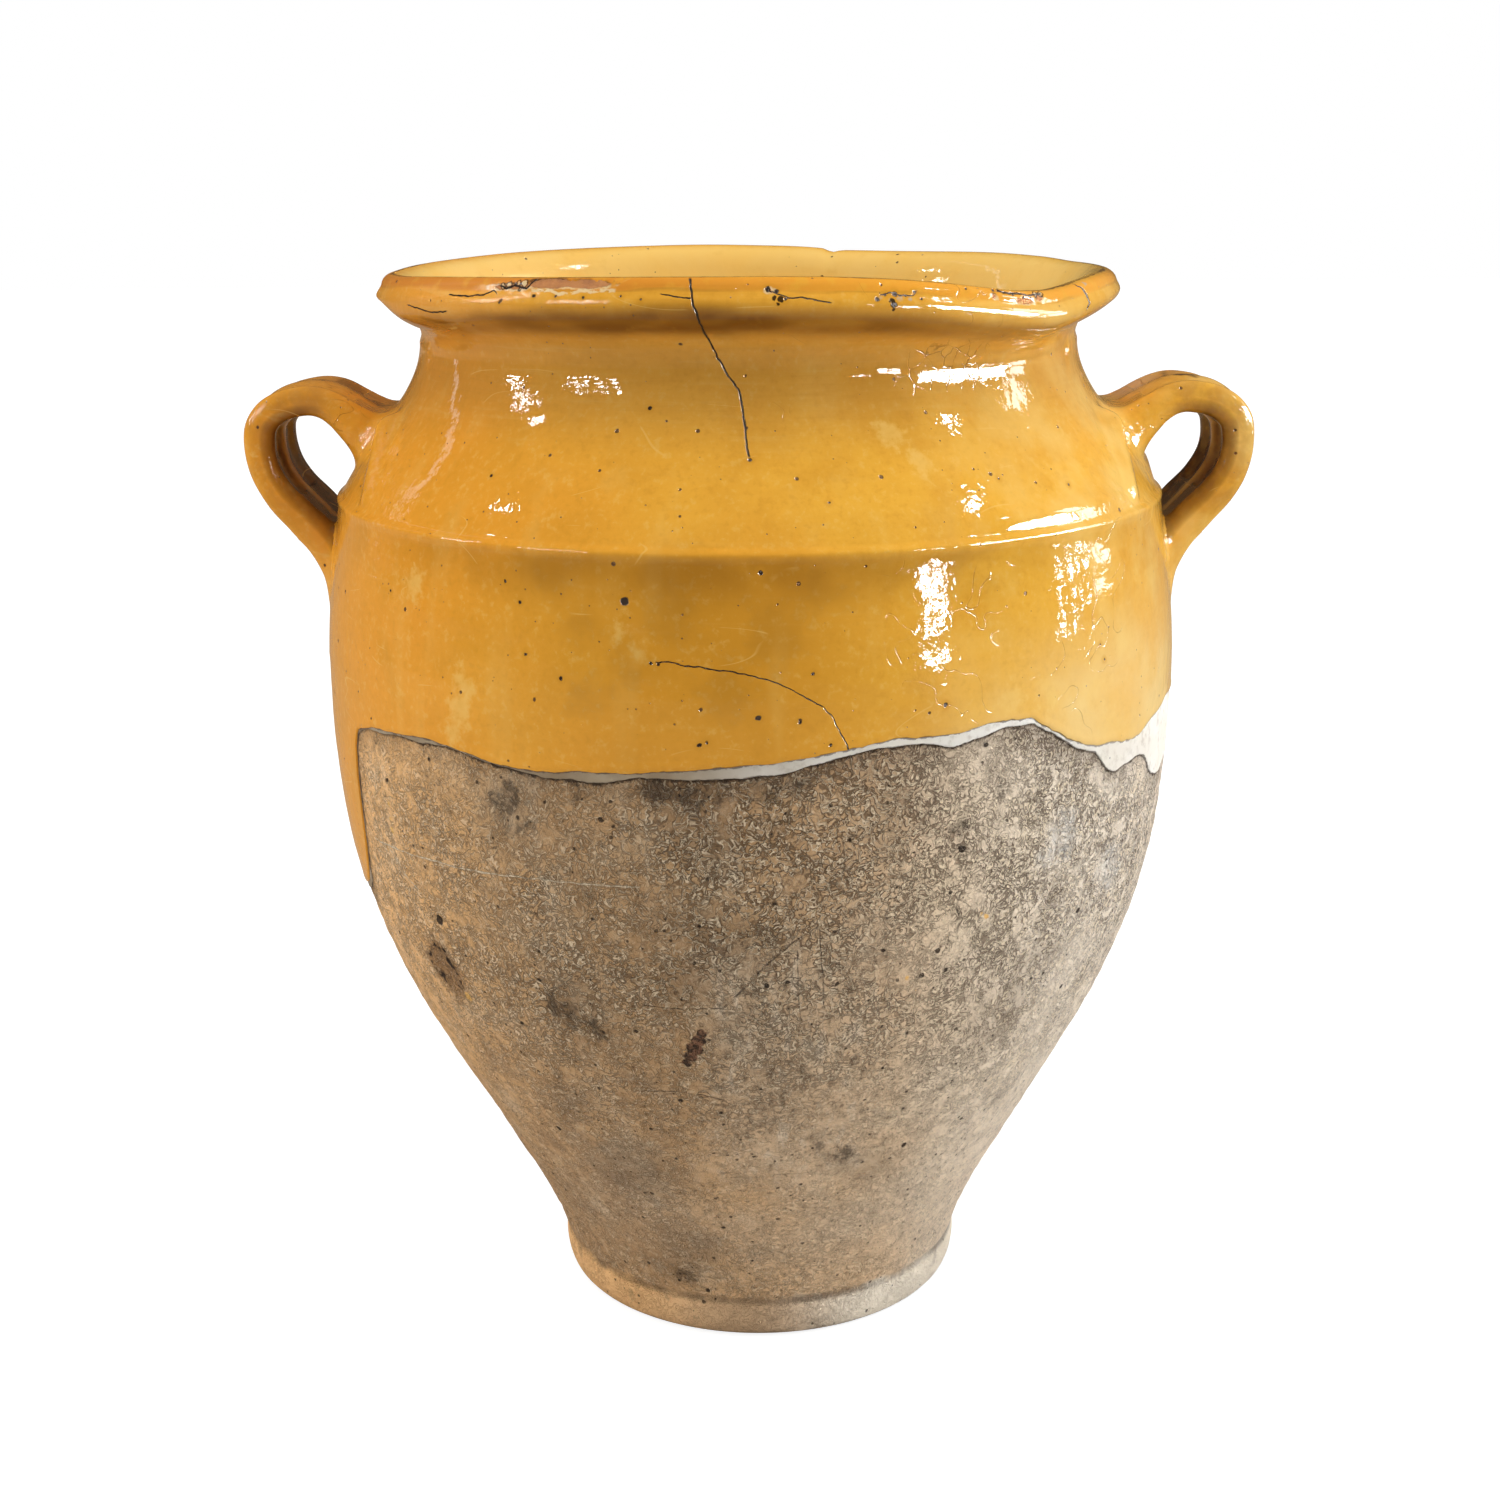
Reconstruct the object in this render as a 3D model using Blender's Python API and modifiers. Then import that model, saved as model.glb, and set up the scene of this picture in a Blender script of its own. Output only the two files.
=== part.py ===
# A half-glazed earthenware confit jar: a thrown vessel, two pulled strap handles luted to its
# shoulder, the white slip on its upper half, and the yellow glaze outside and inside.
# Metres, +Z up. The origin is the centre of the foot's flat underside. The handles lie on +X and -X.

import math

import bmesh
import bpy
from mathutils import Vector

# The thrown vessel, measured on the bare clay
FOOT_RADIUS = 0.0697
FOOT_HEIGHT = 0.0135
FOOT_EDGE_ROUND = 0.0036
BELLY_RADIUS = 0.1393
BELLY_DROP = 0.0645
RIDGE_RADIUS = 0.1327
RIDGE_HEIGHT = 0.2765
NECK_RADIUS = 0.1043
NECK_RISE = 0.048
LIP_RADIUS = 0.118
LIP_RISE = 0.024
LIP_ROLL_WIDTH = 0.0135
LIP_ROLL_HEIGHT = 0.013
WALL_THICKNESS = 0.0085
FLOOR_THICKNESS = 0.011
FLOOR_CORNER = 0.016

# Heights that follow from the vessel's own: the belly's widest place, the neck and the lip's crest
BELLY_HEIGHT = RIDGE_HEIGHT - BELLY_DROP
NECK_HEIGHT = RIDGE_HEIGHT + NECK_RISE
JAR_HEIGHT = NECK_HEIGHT + LIP_RISE

# How the lip sags out of true, as shares of one drop, by the angle from the front, towards +X
LIP_DROP = 0.0065
LIP_DROP_FALLOFF = 0.030
LIP_DROP_SHARES = (
    (0, 0.0),
    (18, 0.22),
    (32, 0.6),
    (46, 1.0),
    (60, 0.58),
    (90, 0.3),
    (150, 0.28),
    (190, 0.12),
    (250, 0.38),
    (275, 0.4),
    (300, 0.38),
    (335, 0.08),
    (360, 0.0),
)

# The coats, and the gap that each one keeps to what it lies on
COAT_GAP = 0.0003
SLIP_THICKNESS = 0.0004
GLAZE_THICKNESS = 0.0005
GLAZE_EDGE_DROP = 0.0595
SLIP_BAND = 0.004
SLIP_TOP_RISE = 0.010
EDGE_RUN = 0.050

# Each coat's lower edge where it neither dips nor rises, and the slip's top, under the lip's roll
GLAZE_EDGE_HEIGHT = RIDGE_HEIGHT - GLAZE_EDGE_DROP
SLIP_EDGE_HEIGHT = GLAZE_EDGE_HEIGHT - SLIP_BAND
SLIP_TOP_HEIGHT = NECK_HEIGHT + SLIP_TOP_RISE

# The run of each coat's lower edge round the jar, as shares of EDGE_RUN below its nominal height
GLAZE_EDGE_SHARES = (
    (0, -0.04),
    (18, -0.15),
    (34, -0.17),
    (41, 0.0),
    (48, 0.11),
    (58, 0.14),
    (75, 0.12),
    (100, 0.28),
    (130, 0.42),
    (160, 0.52),
    (190, 0.7),
    (225, 0.98),
    (262, 1.24),
    (289, 1.28),
    (300, 0.12),
    (306, 0.03),
    (316, 0.0),
    (332, 0.06),
    (348, 0.02),
    (360, -0.04),
)
SLIP_EDGE_SHARES = (
    (0, -0.06),
    (18, -0.17),
    (34, -0.2),
    (41, -0.05),
    (50, 0.2),
    (58, 0.24),
    (75, 0.46),
    (100, 0.42),
    (130, 0.5),
    (160, 0.58),
    (190, 0.73),
    (225, 0.98),
    (262, 1.22),
    (289, 1.27),
    (300, 0.1),
    (306, -0.03),
    (316, -0.05),
    (332, 0.01),
    (348, -0.02),
    (360, -0.06),
)

# The strap handles
HANDLE_REACH = 0.0256
HANDLE_CROWN_RISE = 0.0295
HANDLE_TAIL_DROP = 0.0345
STRAP_WIDTH = 0.040
STRAP_THICKNESS = 0.0122
STRAP_SQUARENESS = 3.0

# The strap's crown and tail follow the ridge
HANDLE_CROWN_HEIGHT = RIDGE_HEIGHT + HANDLE_CROWN_RISE
HANDLE_TAIL_HEIGHT = RIDGE_HEIGHT - HANDLE_TAIL_DROP

# The strap's line: how far it stands beyond the ridge, in shares of HANDLE_REACH, and how high, in
# shares of the way from the tail to the crown, with its width and thickness in shares of the strap's.
# Within WRAP_REACH of the wall, in shares of HANDLE_REACH, a section bends round the jar.
WRAP_REACH = 0.6
STRAP_SHARES = (
    (-0.95, 0.766, 1.36, 1.7),
    (-0.52, 0.808, 1.28, 1.62),
    (-0.3, 0.816, 1.2, 1.9),
    (-0.086, 0.917, 1.1, 1.08),
    (0.11, 0.978, 1.03, 0.96),
    (0.285, 1.0, 1.0, 0.96),
    (0.52, 0.996, 1.0, 0.97),
    (0.7, 0.982, 1.0, 0.98),
    (0.88, 0.948, 1.0, 1.0),
    (0.985, 0.888, 1.0, 1.0),
    (1.015, 0.805, 1.0, 1.0),
    (0.995, 0.715, 1.0, 1.0),
    (0.93, 0.63, 1.0, 1.0),
    (0.775, 0.525, 1.0, 1.0),
    (0.52, 0.414, 1.0, 1.0),
    (0.275, 0.3, 1.0, 0.98),
    (0.115, 0.165, 1.02, 0.92),
    (0.035, 0.02, 1.04, 0.76),
    (-0.03, -0.1, 1.0, 0.55),
)

# Rows and columns of the facets
COLUMNS = 40
STRAP_COLUMNS = 16
OUTLINE_STEPS = 8
STRAP_STEPS = 1
ROLL_STEPS = 8
FOOT_STEPS = 3
CORNER_STEPS = 3
CUTTER_OVERRUN = 0.004
MERGE_DISTANCE = 0.00001

# Looks of the bare solids: colour, roughness
CLAY_LOOK = ((0.42, 0.31, 0.20, 1.0), 0.9)
SLIP_LOOK = ((0.62, 0.62, 0.57, 1.0), 0.7)
GLAZE_LOOK = ((0.72, 0.36, 0.05, 1.0), 0.15)
LINING_LOOK = ((0.78, 0.50, 0.13, 1.0), 0.18)
HANDLE_LOOK = ((0.66, 0.31, 0.05, 1.0), 0.15)

# The wall between the foot and the neck, as shares of the way between two named places:
# (share of the height, share of the radius)
FOOT_TO_BELLY_SHARES = (
    (0.055, 0.038),
    (0.14, 0.155),
    (0.285, 0.375),
    (0.485, 0.685),
    (0.685, 0.896),
    (0.87, 0.985),
)
BELLY_TO_RIDGE_SHARES = ((0.36, 0.2), (0.62, 0.5), (0.85, 0.86))
RIDGE_TO_NECK_SHARES = ((0.19, 0.205), (0.39, 0.475), (0.6, 0.745), (0.78, 0.915))
UNDER_LIP_SHARES = ((0.3, 0.02), (0.72, 0.3))

# Rows of facets between the foot and the slip's edge, and between the glaze's edge and the ridge
LOWER_ROW_SHARES = (0.05, 0.12, 0.21, 0.32, 0.44, 0.57, 0.71, 0.86)
UPPER_ROW_SHARES = (0.24, 0.47, 0.68, 0.85, 0.95)

# Angles on the lip's roll, a quarter turn being its crest: where the wall meets it underneath,
# where the outside glaze ends, and where the glaze inside starts and turns down
ROLL_START = -math.pi / 3
COAT_END = math.pi * 0.74
LINING_START = math.pi * 0.78
LINING_BEND = math.pi * 0.92


def clear_scene():
    """Removes what the file opens with."""
    for obj in list(bpy.data.objects):
        bpy.data.objects.remove(obj, do_unlink=True)


def new_collection(name):
    group = bpy.data.collections.new(name)
    bpy.context.scene.collection.children.link(group)
    return group


def finish(name, look):
    """A Principled material with this colour and roughness."""
    colour, roughness = look
    material = bpy.data.materials.new(name)
    material.use_nodes = True
    shader = material.node_tree.nodes["Principled BSDF"]
    shader.inputs["Base Color"].default_value = colour
    shader.inputs["Roughness"].default_value = roughness
    shader.inputs["Metallic"].default_value = 0.0
    material.diffuse_color = colour
    return material


def between(start, end, shares):
    """Points (radius, height) at these shares of the way from start to end."""
    points = []
    for height_share, radius_share in shares:
        radius = start[0] + radius_share * (end[0] - start[0])
        height = start[1] + height_share * (end[1] - start[1])
        points.append((radius, height))
    return points


def catmull_rom(before, start, end, after, share):
    """A point on the smooth curve from start to end, as tuples of any one length."""
    point = []
    for a, b, c, d in zip(before, start, end, after):
        value = 0.5 * (
            2 * b
            + (c - a) * share
            + (2 * a - 5 * b + 4 * c - d) * share**2
            + (3 * b - 3 * c + d - a) * share**3
        )
        point.append(value)
    return tuple(point)


def smoothed(points, steps):
    """The points with steps rows to each stretch, along a smooth curve through them all."""
    rows = []
    for i in range(len(points) - 1):
        before = points[max(i - 1, 0)]
        after = points[min(i + 2, len(points) - 1)]
        for step in range(steps):
            rows.append(catmull_rom(before, points[i], points[i + 1], after, step / steps))
    rows.append(points[-1])
    return rows


def share_at(angle, shares):
    """The share at this angle in radians from the front, eased between a table's entries."""
    turned = math.degrees(angle) % 360
    for (first, low), (last, high) in zip(shares, shares[1:]):
        if first <= turned <= last:
            way = (turned - first) / (last - first)
            eased = way * way * (3 - 2 * way)
            return low + eased * (high - low)
    return shares[0][1]


def offset(points, distance):
    """The open outline moved to its left by this distance, as seen walking along it."""
    moved = []
    for i, (radius, height) in enumerate(points):
        before = Vector(points[max(i - 1, 0)])
        after = Vector(points[min(i + 1, len(points) - 1)])
        along = (after - before).normalized()
        moved.append((radius - along.y * distance, height + along.x * distance))
    return moved


def smooth_wall():
    """The outside of the bare wall as a fine line, from the top of the foot to the lip's roll."""
    foot = (FOOT_RADIUS, FOOT_HEIGHT)
    belly = (BELLY_RADIUS, BELLY_HEIGHT)
    ridge = (RIDGE_RADIUS, RIDGE_HEIGHT)
    neck = (NECK_RADIUS, NECK_HEIGHT)
    lower = [foot] + between(foot, belly, FOOT_TO_BELLY_SHARES) + [belly]
    lower += between(belly, ridge, BELLY_TO_RIDGE_SHARES) + [ridge]
    upper = [ridge] + between(ridge, neck, RIDGE_TO_NECK_SHARES) + [neck]
    upper += between(neck, roll_point(ROLL_START), UNDER_LIP_SHARES)
    upper.append(roll_point(ROLL_START))
    return smoothed(lower, OUTLINE_STEPS)[:-1] + smoothed(upper, 1)


def wall_outline():
    """The wall's outline with a row at each coat's lower edge, so every skin shares its rows."""
    fine = smooth_wall()
    heights = [FOOT_HEIGHT]
    climb = SLIP_EDGE_HEIGHT - FOOT_HEIGHT
    heights += [FOOT_HEIGHT + share * climb for share in LOWER_ROW_SHARES]
    heights += [SLIP_EDGE_HEIGHT, GLAZE_EDGE_HEIGHT]
    climb = RIDGE_HEIGHT - GLAZE_EDGE_HEIGHT
    heights += [GLAZE_EDGE_HEIGHT + share * climb for share in UPPER_ROW_SHARES]
    rows = [(radius_at(fine, height), height) for height in heights]
    return rows + [point for point in fine if point[1] >= RIDGE_HEIGHT]


def roll_point(angle):
    """A point of the lip's roll: angle 0 is its outermost point, and a quarter turn its crest."""
    across = LIP_ROLL_WIDTH / 2
    up = LIP_ROLL_HEIGHT / 2
    radius = LIP_RADIUS - across + across * math.cos(angle)
    height = JAR_HEIGHT - up + up * math.sin(angle)
    return (radius, height)


def roll_outline(start, end):
    """The lip's roll from one angle to another."""
    points = []
    for step in range(ROLL_STEPS + 1):
        points.append(roll_point(start + (end - start) * step / ROLL_STEPS))
    return points


def foot_outline():
    """The rounded lower edge of the foot, from the flat underside up to its side."""
    points = []
    for step in range(FOOT_STEPS + 1):
        angle = math.pi / 2 * step / FOOT_STEPS
        radius = FOOT_RADIUS - FOOT_EDGE_ROUND * (1 - math.sin(angle))
        height = FOOT_EDGE_ROUND * (1 - math.cos(angle))
        points.append((radius, height))
    return points


def outside_outline():
    """The whole outside of the bare clay, from the rim of the underside over the lip's crest."""
    return foot_outline() + wall_outline() + roll_outline(ROLL_START, COAT_END)[1:]


def inside_outline():
    """The inside of the bare clay, from the lip's inner edge down to the floor's centre."""
    wall = [p for p in offset(wall_outline(), WALL_THICKNESS) if p[1] < NECK_HEIGHT]
    corner_height = FLOOR_THICKNESS + FLOOR_CORNER
    wall = [p for p in wall if p[1] > corner_height]
    lip = [roll_point(LINING_START), roll_point(LINING_BEND)]
    inner = lip + wall[::-2]
    foot_inside = wall[0][0] - (wall[1][0] - wall[0][0])
    for step in range(1, CORNER_STEPS + 1):
        angle = math.pi / 2 * step / CORNER_STEPS
        radius = foot_inside - FLOOR_CORNER * (1 - math.cos(angle))
        height = corner_height - FLOOR_CORNER * math.sin(angle)
        inner.append((radius, height))
    inner.append((0.0, FLOOR_THICKNESS))
    return inner


def radius_at(outline, height):
    """The outline's radius at this height, where the outline climbs."""
    for (r_low, z_low), (r_high, z_high) in zip(outline, outline[1:]):
        if z_low <= height <= z_high:
            return r_low + (r_high - r_low) * (height - z_low) / (z_high - z_low)
    nearest = min(outline, key=lambda point: abs(point[1] - height))
    return nearest[0]


def lip_drop(angle, height):
    """How far the clay sags at this angle and height: all of it at the crest, none below the neck."""
    rise = (height - (JAR_HEIGHT - LIP_DROP_FALLOFF)) / LIP_DROP_FALLOFF
    share = min(max(rise, 0.0), 1.0)
    eased = share * share * (3 - 2 * share)
    return LIP_DROP * share_at(angle, LIP_DROP_SHARES) * eased


def front_angle(point):
    """The angle of a point from the front, -Y, towards +X."""
    return math.atan2(point.x, -point.y)


def sag(mesh):
    """Lowers the lip of a turned mesh by its drop at each angle."""
    for vertex in mesh.vertices:
        vertex.co.z -= lip_drop(front_angle(vertex.co), vertex.co.z)


def turned(name, outline):
    """A mesh turned round Z from an outline of (radius, height), with a Screw modifier."""
    profile = bpy.data.meshes.new(name + "_profile")
    points = [(radius, 0.0, height) for radius, height in outline]
    edges = [(i, i + 1) for i in range(len(points) - 1)]
    profile.from_pydata(points, edges, [])
    holder = bpy.data.objects.new(name + "_profile", profile)
    bpy.context.scene.collection.objects.link(holder)
    screw = holder.modifiers.new("Turn", "SCREW")
    screw.axis = "Z"
    screw.steps = COLUMNS
    screw.render_steps = COLUMNS
    screw.use_merge_vertices = True
    screw.merge_threshold = MERGE_DISTANCE
    graph = bpy.context.evaluated_depsgraph_get()
    mesh = bpy.data.meshes.new_from_object(holder.evaluated_get(graph))
    mesh.name = name
    bpy.data.objects.remove(holder, do_unlink=True)
    return mesh


def facing_out(mesh):
    """Turns every face of a closed mesh outwards."""
    shape = bmesh.new()
    shape.from_mesh(mesh)
    bmesh.ops.recalc_face_normals(shape, faces=shape.faces)
    shape.to_mesh(mesh)
    shape.free()


def place(name, mesh, look, group):
    """An object for this mesh, with its material and smooth shading."""
    obj = bpy.data.objects.new(name, mesh)
    mesh.materials.clear()
    mesh.materials.append(finish(name, look))
    mesh.shade_smooth()
    group.objects.link(obj)
    return obj


def add_cut(obj, cutter):
    cut = obj.modifiers.new("Cut " + cutter.name, "BOOLEAN")
    cut.operation = "DIFFERENCE"
    cut.solver = "EXACT"
    cut.object = cutter


def make_cutter(name, mesh, group):
    cutter = bpy.data.objects.new(name, mesh)
    cutter.hide_render = True
    cutter.display_type = "WIRE"
    group.objects.link(cutter)
    return cutter


def make_jar_body(group):
    """The thrown vessel in one piece: foot, floor, wall, neck and rolled lip."""
    underside = (0.0, 0.0)
    outline = [underside] + outside_outline() + inside_outline()
    mesh = turned("jar_body", outline[::-1])
    settle(mesh, 0.0)
    sag(mesh)
    facing_out(mesh)
    return place("jar_body", mesh, CLAY_LOOK, group)


def edge_at(angle, height, shares):
    """The height of a coat's lower edge at this angle."""
    return height - EDGE_RUN * share_at(angle, shares)


def settled(angle, height):
    """Where a row of this height runs at this angle, between the foot, both edges and the ridge."""
    slip_edge = edge_at(angle, SLIP_EDGE_HEIGHT, SLIP_EDGE_SHARES)
    glaze_edge = edge_at(angle, GLAZE_EDGE_HEIGHT, GLAZE_EDGE_SHARES)
    even = (FOOT_HEIGHT, SLIP_EDGE_HEIGHT, GLAZE_EDGE_HEIGHT, RIDGE_HEIGHT)
    run = (FOOT_HEIGHT, slip_edge, glaze_edge, RIDGE_HEIGHT)
    for i in range(len(even) - 1):
        if even[i] <= height < even[i + 1]:
            way = (height - even[i]) / (even[i + 1] - even[i])
            return run[i] + way * (run[i + 1] - run[i])
    return height


def settle(mesh, lift):
    """Runs the rows of an outside skin, lifted this far from the clay, along the coats' edges."""
    line = offset(smooth_wall(), -lift)
    for vertex in mesh.vertices:
        radius = math.hypot(vertex.co.x, vertex.co.y)
        if not FOOT_HEIGHT < vertex.co.z < RIDGE_HEIGHT:
            continue
        if radius < radius_at(line, vertex.co.z) - WALL_THICKNESS / 2:
            continue
        angle = front_angle(vertex.co)
        height = settled(angle, vertex.co.z)
        radius = radius_at(line, height)
        vertex.co = Vector((radius * math.sin(angle), -radius * math.cos(angle), height))


def outside_coat(name, lift, thickness, edge, tail, look, cutters, group):
    """A skin on the outside wall, lifted from the clay, from its running lower edge to its top."""
    rows = []
    for (radius, height), lifted in zip(wall_outline(), offset(wall_outline(), -lift)):
        if edge - MERGE_DISTANCE < height < RIDGE_HEIGHT:
            rows.append((radius_at(offset(smooth_wall(), -lift), height), height))
        elif RIDGE_HEIGHT <= height < SLIP_TOP_HEIGHT:
            rows.append(lifted)
    mesh = turned(name, (rows + tail)[::-1])
    settle(mesh, lift)
    sag(mesh)
    return thicken(name, mesh, thickness, look, cutters, group)


def thicken(name, mesh, thickness, look, cutters, group):
    """Gives a skin its thickness, outwards, and cuts the handles' roots out of it."""
    coat = place(name, mesh, look, group)
    solid = coat.modifiers.new("Thickness", "SOLIDIFY")
    solid.thickness = thickness
    solid.offset = 1.0
    solid.use_even_offset = True
    for cutter in cutters:
        add_cut(coat, cutter)
    return coat


def make_slip_coat(cutters, group):
    """The white slip under the outside glaze, which shows as a band below the glaze's edge."""
    return outside_coat(
        "slip_coat",
        COAT_GAP,
        SLIP_THICKNESS,
        SLIP_EDGE_HEIGHT,
        [],
        SLIP_LOOK,
        cutters,
        group,
    )


def make_glaze_coat(cutters, group):
    """The yellow glaze over the slip, from its running edge on the belly up over the lip's roll."""
    over_slip = COAT_GAP + SLIP_THICKNESS + COAT_GAP
    roll = offset(wall_outline() + roll_outline(ROLL_START, COAT_END)[1:], -over_slip)
    return outside_coat(
        "glaze_coat",
        over_slip,
        GLAZE_THICKNESS,
        GLAZE_EDGE_HEIGHT,
        [point for point in roll if point[1] >= SLIP_TOP_HEIGHT],
        GLAZE_LOOK,
        cutters,
        group,
    )


def make_glaze_lining(group):
    """The glaze poured round the inside, from the lip's inner edge to the floor."""
    inside = offset(inside_outline(), -COAT_GAP)
    inside[-1] = (0.0, inside[-1][1])
    mesh = turned("glaze_lining", inside[::-1])
    sag(mesh)
    return thicken("glaze_lining", mesh, GLAZE_THICKNESS, LINING_LOOK, [], group)


def strap_rings(spare):
    """The strap's sections: centre, direction across its thickness, half width and half thickness."""
    wall = outside_outline()
    points = []
    for lift_share, height_share, width_share, thick_share in STRAP_SHARES:
        climb = HANDLE_CROWN_HEIGHT - HANDLE_TAIL_HEIGHT
        height = HANDLE_TAIL_HEIGHT + height_share * climb
        reach = RIDGE_RADIUS + lift_share * HANDLE_REACH
        half_width = width_share * STRAP_WIDTH / 2 + spare
        half_thick = thick_share * STRAP_THICKNESS / 2 + spare
        points.append((reach, height, half_width, half_thick))
    rows = smoothed(points, STRAP_STEPS)
    rings = []
    for i, (reach, height, half_width, half_thick) in enumerate(rows):
        before = rows[max(i - 1, 0)]
        after = rows[min(i + 1, len(rows) - 1)]
        along = Vector((after[0] - before[0], 0.0, after[1] - before[1])).normalized()
        across = Vector((-along.z, 0.0, along.x))
        wall_radius = radius_at(wall, height)
        stand = (reach - wall_radius) / (WRAP_REACH * HANDLE_REACH)
        wrap = 1 - min(max(stand, 0.0), 1.0)
        centre = Vector((reach, 0.0, height))
        rings.append((centre, across, half_width, half_thick, wrap, wall_radius))
    return rings


def strap_mesh(name, spare):
    """The strap on +X, lofted through its unlike sections and closed at both ends."""
    shape = bmesh.new()
    power = 2 / STRAP_SQUARENESS
    loops = []
    for centre, across, half_width, half_thick, wrap, wall_radius in strap_rings(spare):
        loop = []
        for column in range(STRAP_COLUMNS):
            angle = 2 * math.pi * column / STRAP_COLUMNS
            side = math.copysign(abs(math.cos(angle)) ** power, math.cos(angle))
            rise = math.copysign(abs(math.sin(angle)) ** power, math.sin(angle))
            point = centre + Vector((0.0, half_width * side, 0.0)) + across * half_thick * rise
            point.x -= wrap * (wall_radius - math.sqrt(wall_radius**2 - point.y**2))
            loop.append(shape.verts.new(point))
        loops.append(loop)
    for first, second in zip(loops, loops[1:]):
        for i in range(STRAP_COLUMNS):
            j = (i + 1) % STRAP_COLUMNS
            shape.faces.new((first[i], first[j], second[j], second[i]))
    shape.faces.new(loops[0])
    shape.faces.new(reversed(loops[-1]))
    bmesh.ops.recalc_face_normals(shape, faces=shape.faces)
    mesh = bpy.data.meshes.new(name)
    shape.to_mesh(mesh)
    shape.free()
    return mesh


def mirrored(mesh, name):
    """A copy of the mesh on the other side of the jar."""
    copy = mesh.copy()
    copy.name = name
    for vertex in copy.vertices:
        vertex.co.x = -vertex.co.x
    facing_out(copy)
    return copy


def make_clay_cutter(group):
    """The outside of the clay grown by the gap, which the straps' ends are cut to fit."""
    wall = offset(outside_outline(), -COAT_GAP)
    top = (0.0, wall[-1][1] + CUTTER_OVERRUN)
    bottom = (0.0, wall[0][1] - CUTTER_OVERRUN)
    mesh = turned("clay_cutter", [top, (wall[-1][0], top[1])] + wall[::-1] + [bottom])
    facing_out(mesh)
    return make_cutter("clay_cutter", mesh, group)


def main():
    clear_scene()
    jar = new_collection("confit_jar")
    helpers = new_collection("cutters")
    clay_cutter = make_clay_cutter(helpers)
    grown = strap_mesh("strap_cutter_right", COAT_GAP)
    straps = [
        make_cutter("strap_cutter_right", grown, helpers),
        make_cutter("strap_cutter_left", mirrored(grown, "strap_cutter_left"), helpers),
    ]
    make_jar_body(jar)
    make_slip_coat(straps, jar)
    make_glaze_coat(straps, jar)
    make_glaze_lining(jar)
    right = strap_mesh("handle_right", 0.0)
    left = mirrored(right, "handle_left")
    for name, mesh in (("handle_right", right), ("handle_left", left)):
        handle = place(name, mesh, HANDLE_LOOK, jar)
        add_cut(handle, clay_cutter)


main()
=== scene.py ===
# Confit jar, dressed: a half-glazed earthenware pot with a rolled lip and two strap handles.

import math

import bpy
import numpy as np
from mathutils import Matrix, Vector


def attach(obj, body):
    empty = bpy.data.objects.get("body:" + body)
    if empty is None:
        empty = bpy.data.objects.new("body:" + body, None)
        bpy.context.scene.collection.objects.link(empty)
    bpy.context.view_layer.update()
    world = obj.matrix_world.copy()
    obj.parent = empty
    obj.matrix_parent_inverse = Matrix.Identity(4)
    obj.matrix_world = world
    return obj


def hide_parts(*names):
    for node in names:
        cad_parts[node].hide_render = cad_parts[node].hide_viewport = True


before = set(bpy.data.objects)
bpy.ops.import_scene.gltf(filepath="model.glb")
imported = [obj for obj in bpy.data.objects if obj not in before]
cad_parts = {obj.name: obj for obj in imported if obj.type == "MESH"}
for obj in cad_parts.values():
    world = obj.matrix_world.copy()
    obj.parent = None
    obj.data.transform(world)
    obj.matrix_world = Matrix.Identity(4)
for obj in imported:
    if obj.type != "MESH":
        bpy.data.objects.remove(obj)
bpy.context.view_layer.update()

# Lengths are in millimetres in the shaping code, and in metres in the meshes and the materials.
MM = 0.001
COAT = 0.9
CREST_HEIGHT = 349.9
GLAZE_COLUMNS = 500
CLAY_COLUMNS = 450
LINING_COLUMNS = 320
HANDLE_STATIONS = 190
LEAN = 1.8
LEAN_TOP = 230

# The foot as (radius, height), and the bare wall up to the ridge as (height, radius).
FOOT = (
    (62, 0), (64.6, 0), (65.7, 0.25), (66.7, 0.8), (67.6, 1.7), (68.3, 3), (68.95, 5), (69.4, 7.5),
    (69.55, 10), (69.4, 12), (69, 13.2), (69, 14.3), (69.7, 16),
)
WALL = (
    (16, 69.7), (18.5, 70.5), (25, 72.6), (33, 76.1), (42, 80.5), (55, 87.7), (70, 95.8), (90, 106.9),
    (110, 117.4), (130, 125.9), (150, 132.1), (170, 136.2), (190, 138.3), (205, 139), (220, 139.1),
    (235, 138.4), (250, 136.7), (265, 134.6), (274, 133.4), (280, 132.6),
)

# The glazed outline above the wall, as (radius, height): ridge, shoulder and neck, lip, then inside.
RIDGE = (
    (134.45, 273), (134.35, 274.6), (134.5, 275.8), (134.5, 276.6), (134.15, 277.15), (133.5, 277.6),
    (132.6, 278.4),
)
SHOULDER = (
    (132.6, 278.4), (130.9, 281.2), (128.5, 285), (125.1, 289.9), (121.3, 295), (117.5, 300.1), (114, 305),
    (111.2, 309.2), (109, 313.2), (107.3, 317.2), (106.3, 321), (105.9, 324.6), (106.2, 327.8),
)
LIP = (
    (106.2, 327.8), (107.6, 330.8), (110.4, 333.3), (113.9, 335.1), (117, 337.1), (118.9, 339.3),
    (119.6, 341.7), (119.4, 343.9), (118.55, 345.4), (117.95, 346.3), (117.75, 347.3), (117.1, 348.5),
    (115.9, 349.5), (114.2, 349.9), (112, 349.6), (109.6, 348.5), (107.5, 346.6), (105.7, 343.9),
    (104.2, 340.4), (102.5, 336), (100.1, 331.2), (97.7, 326.6), (95.9, 321.9), (95.2, 317),
)
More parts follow.
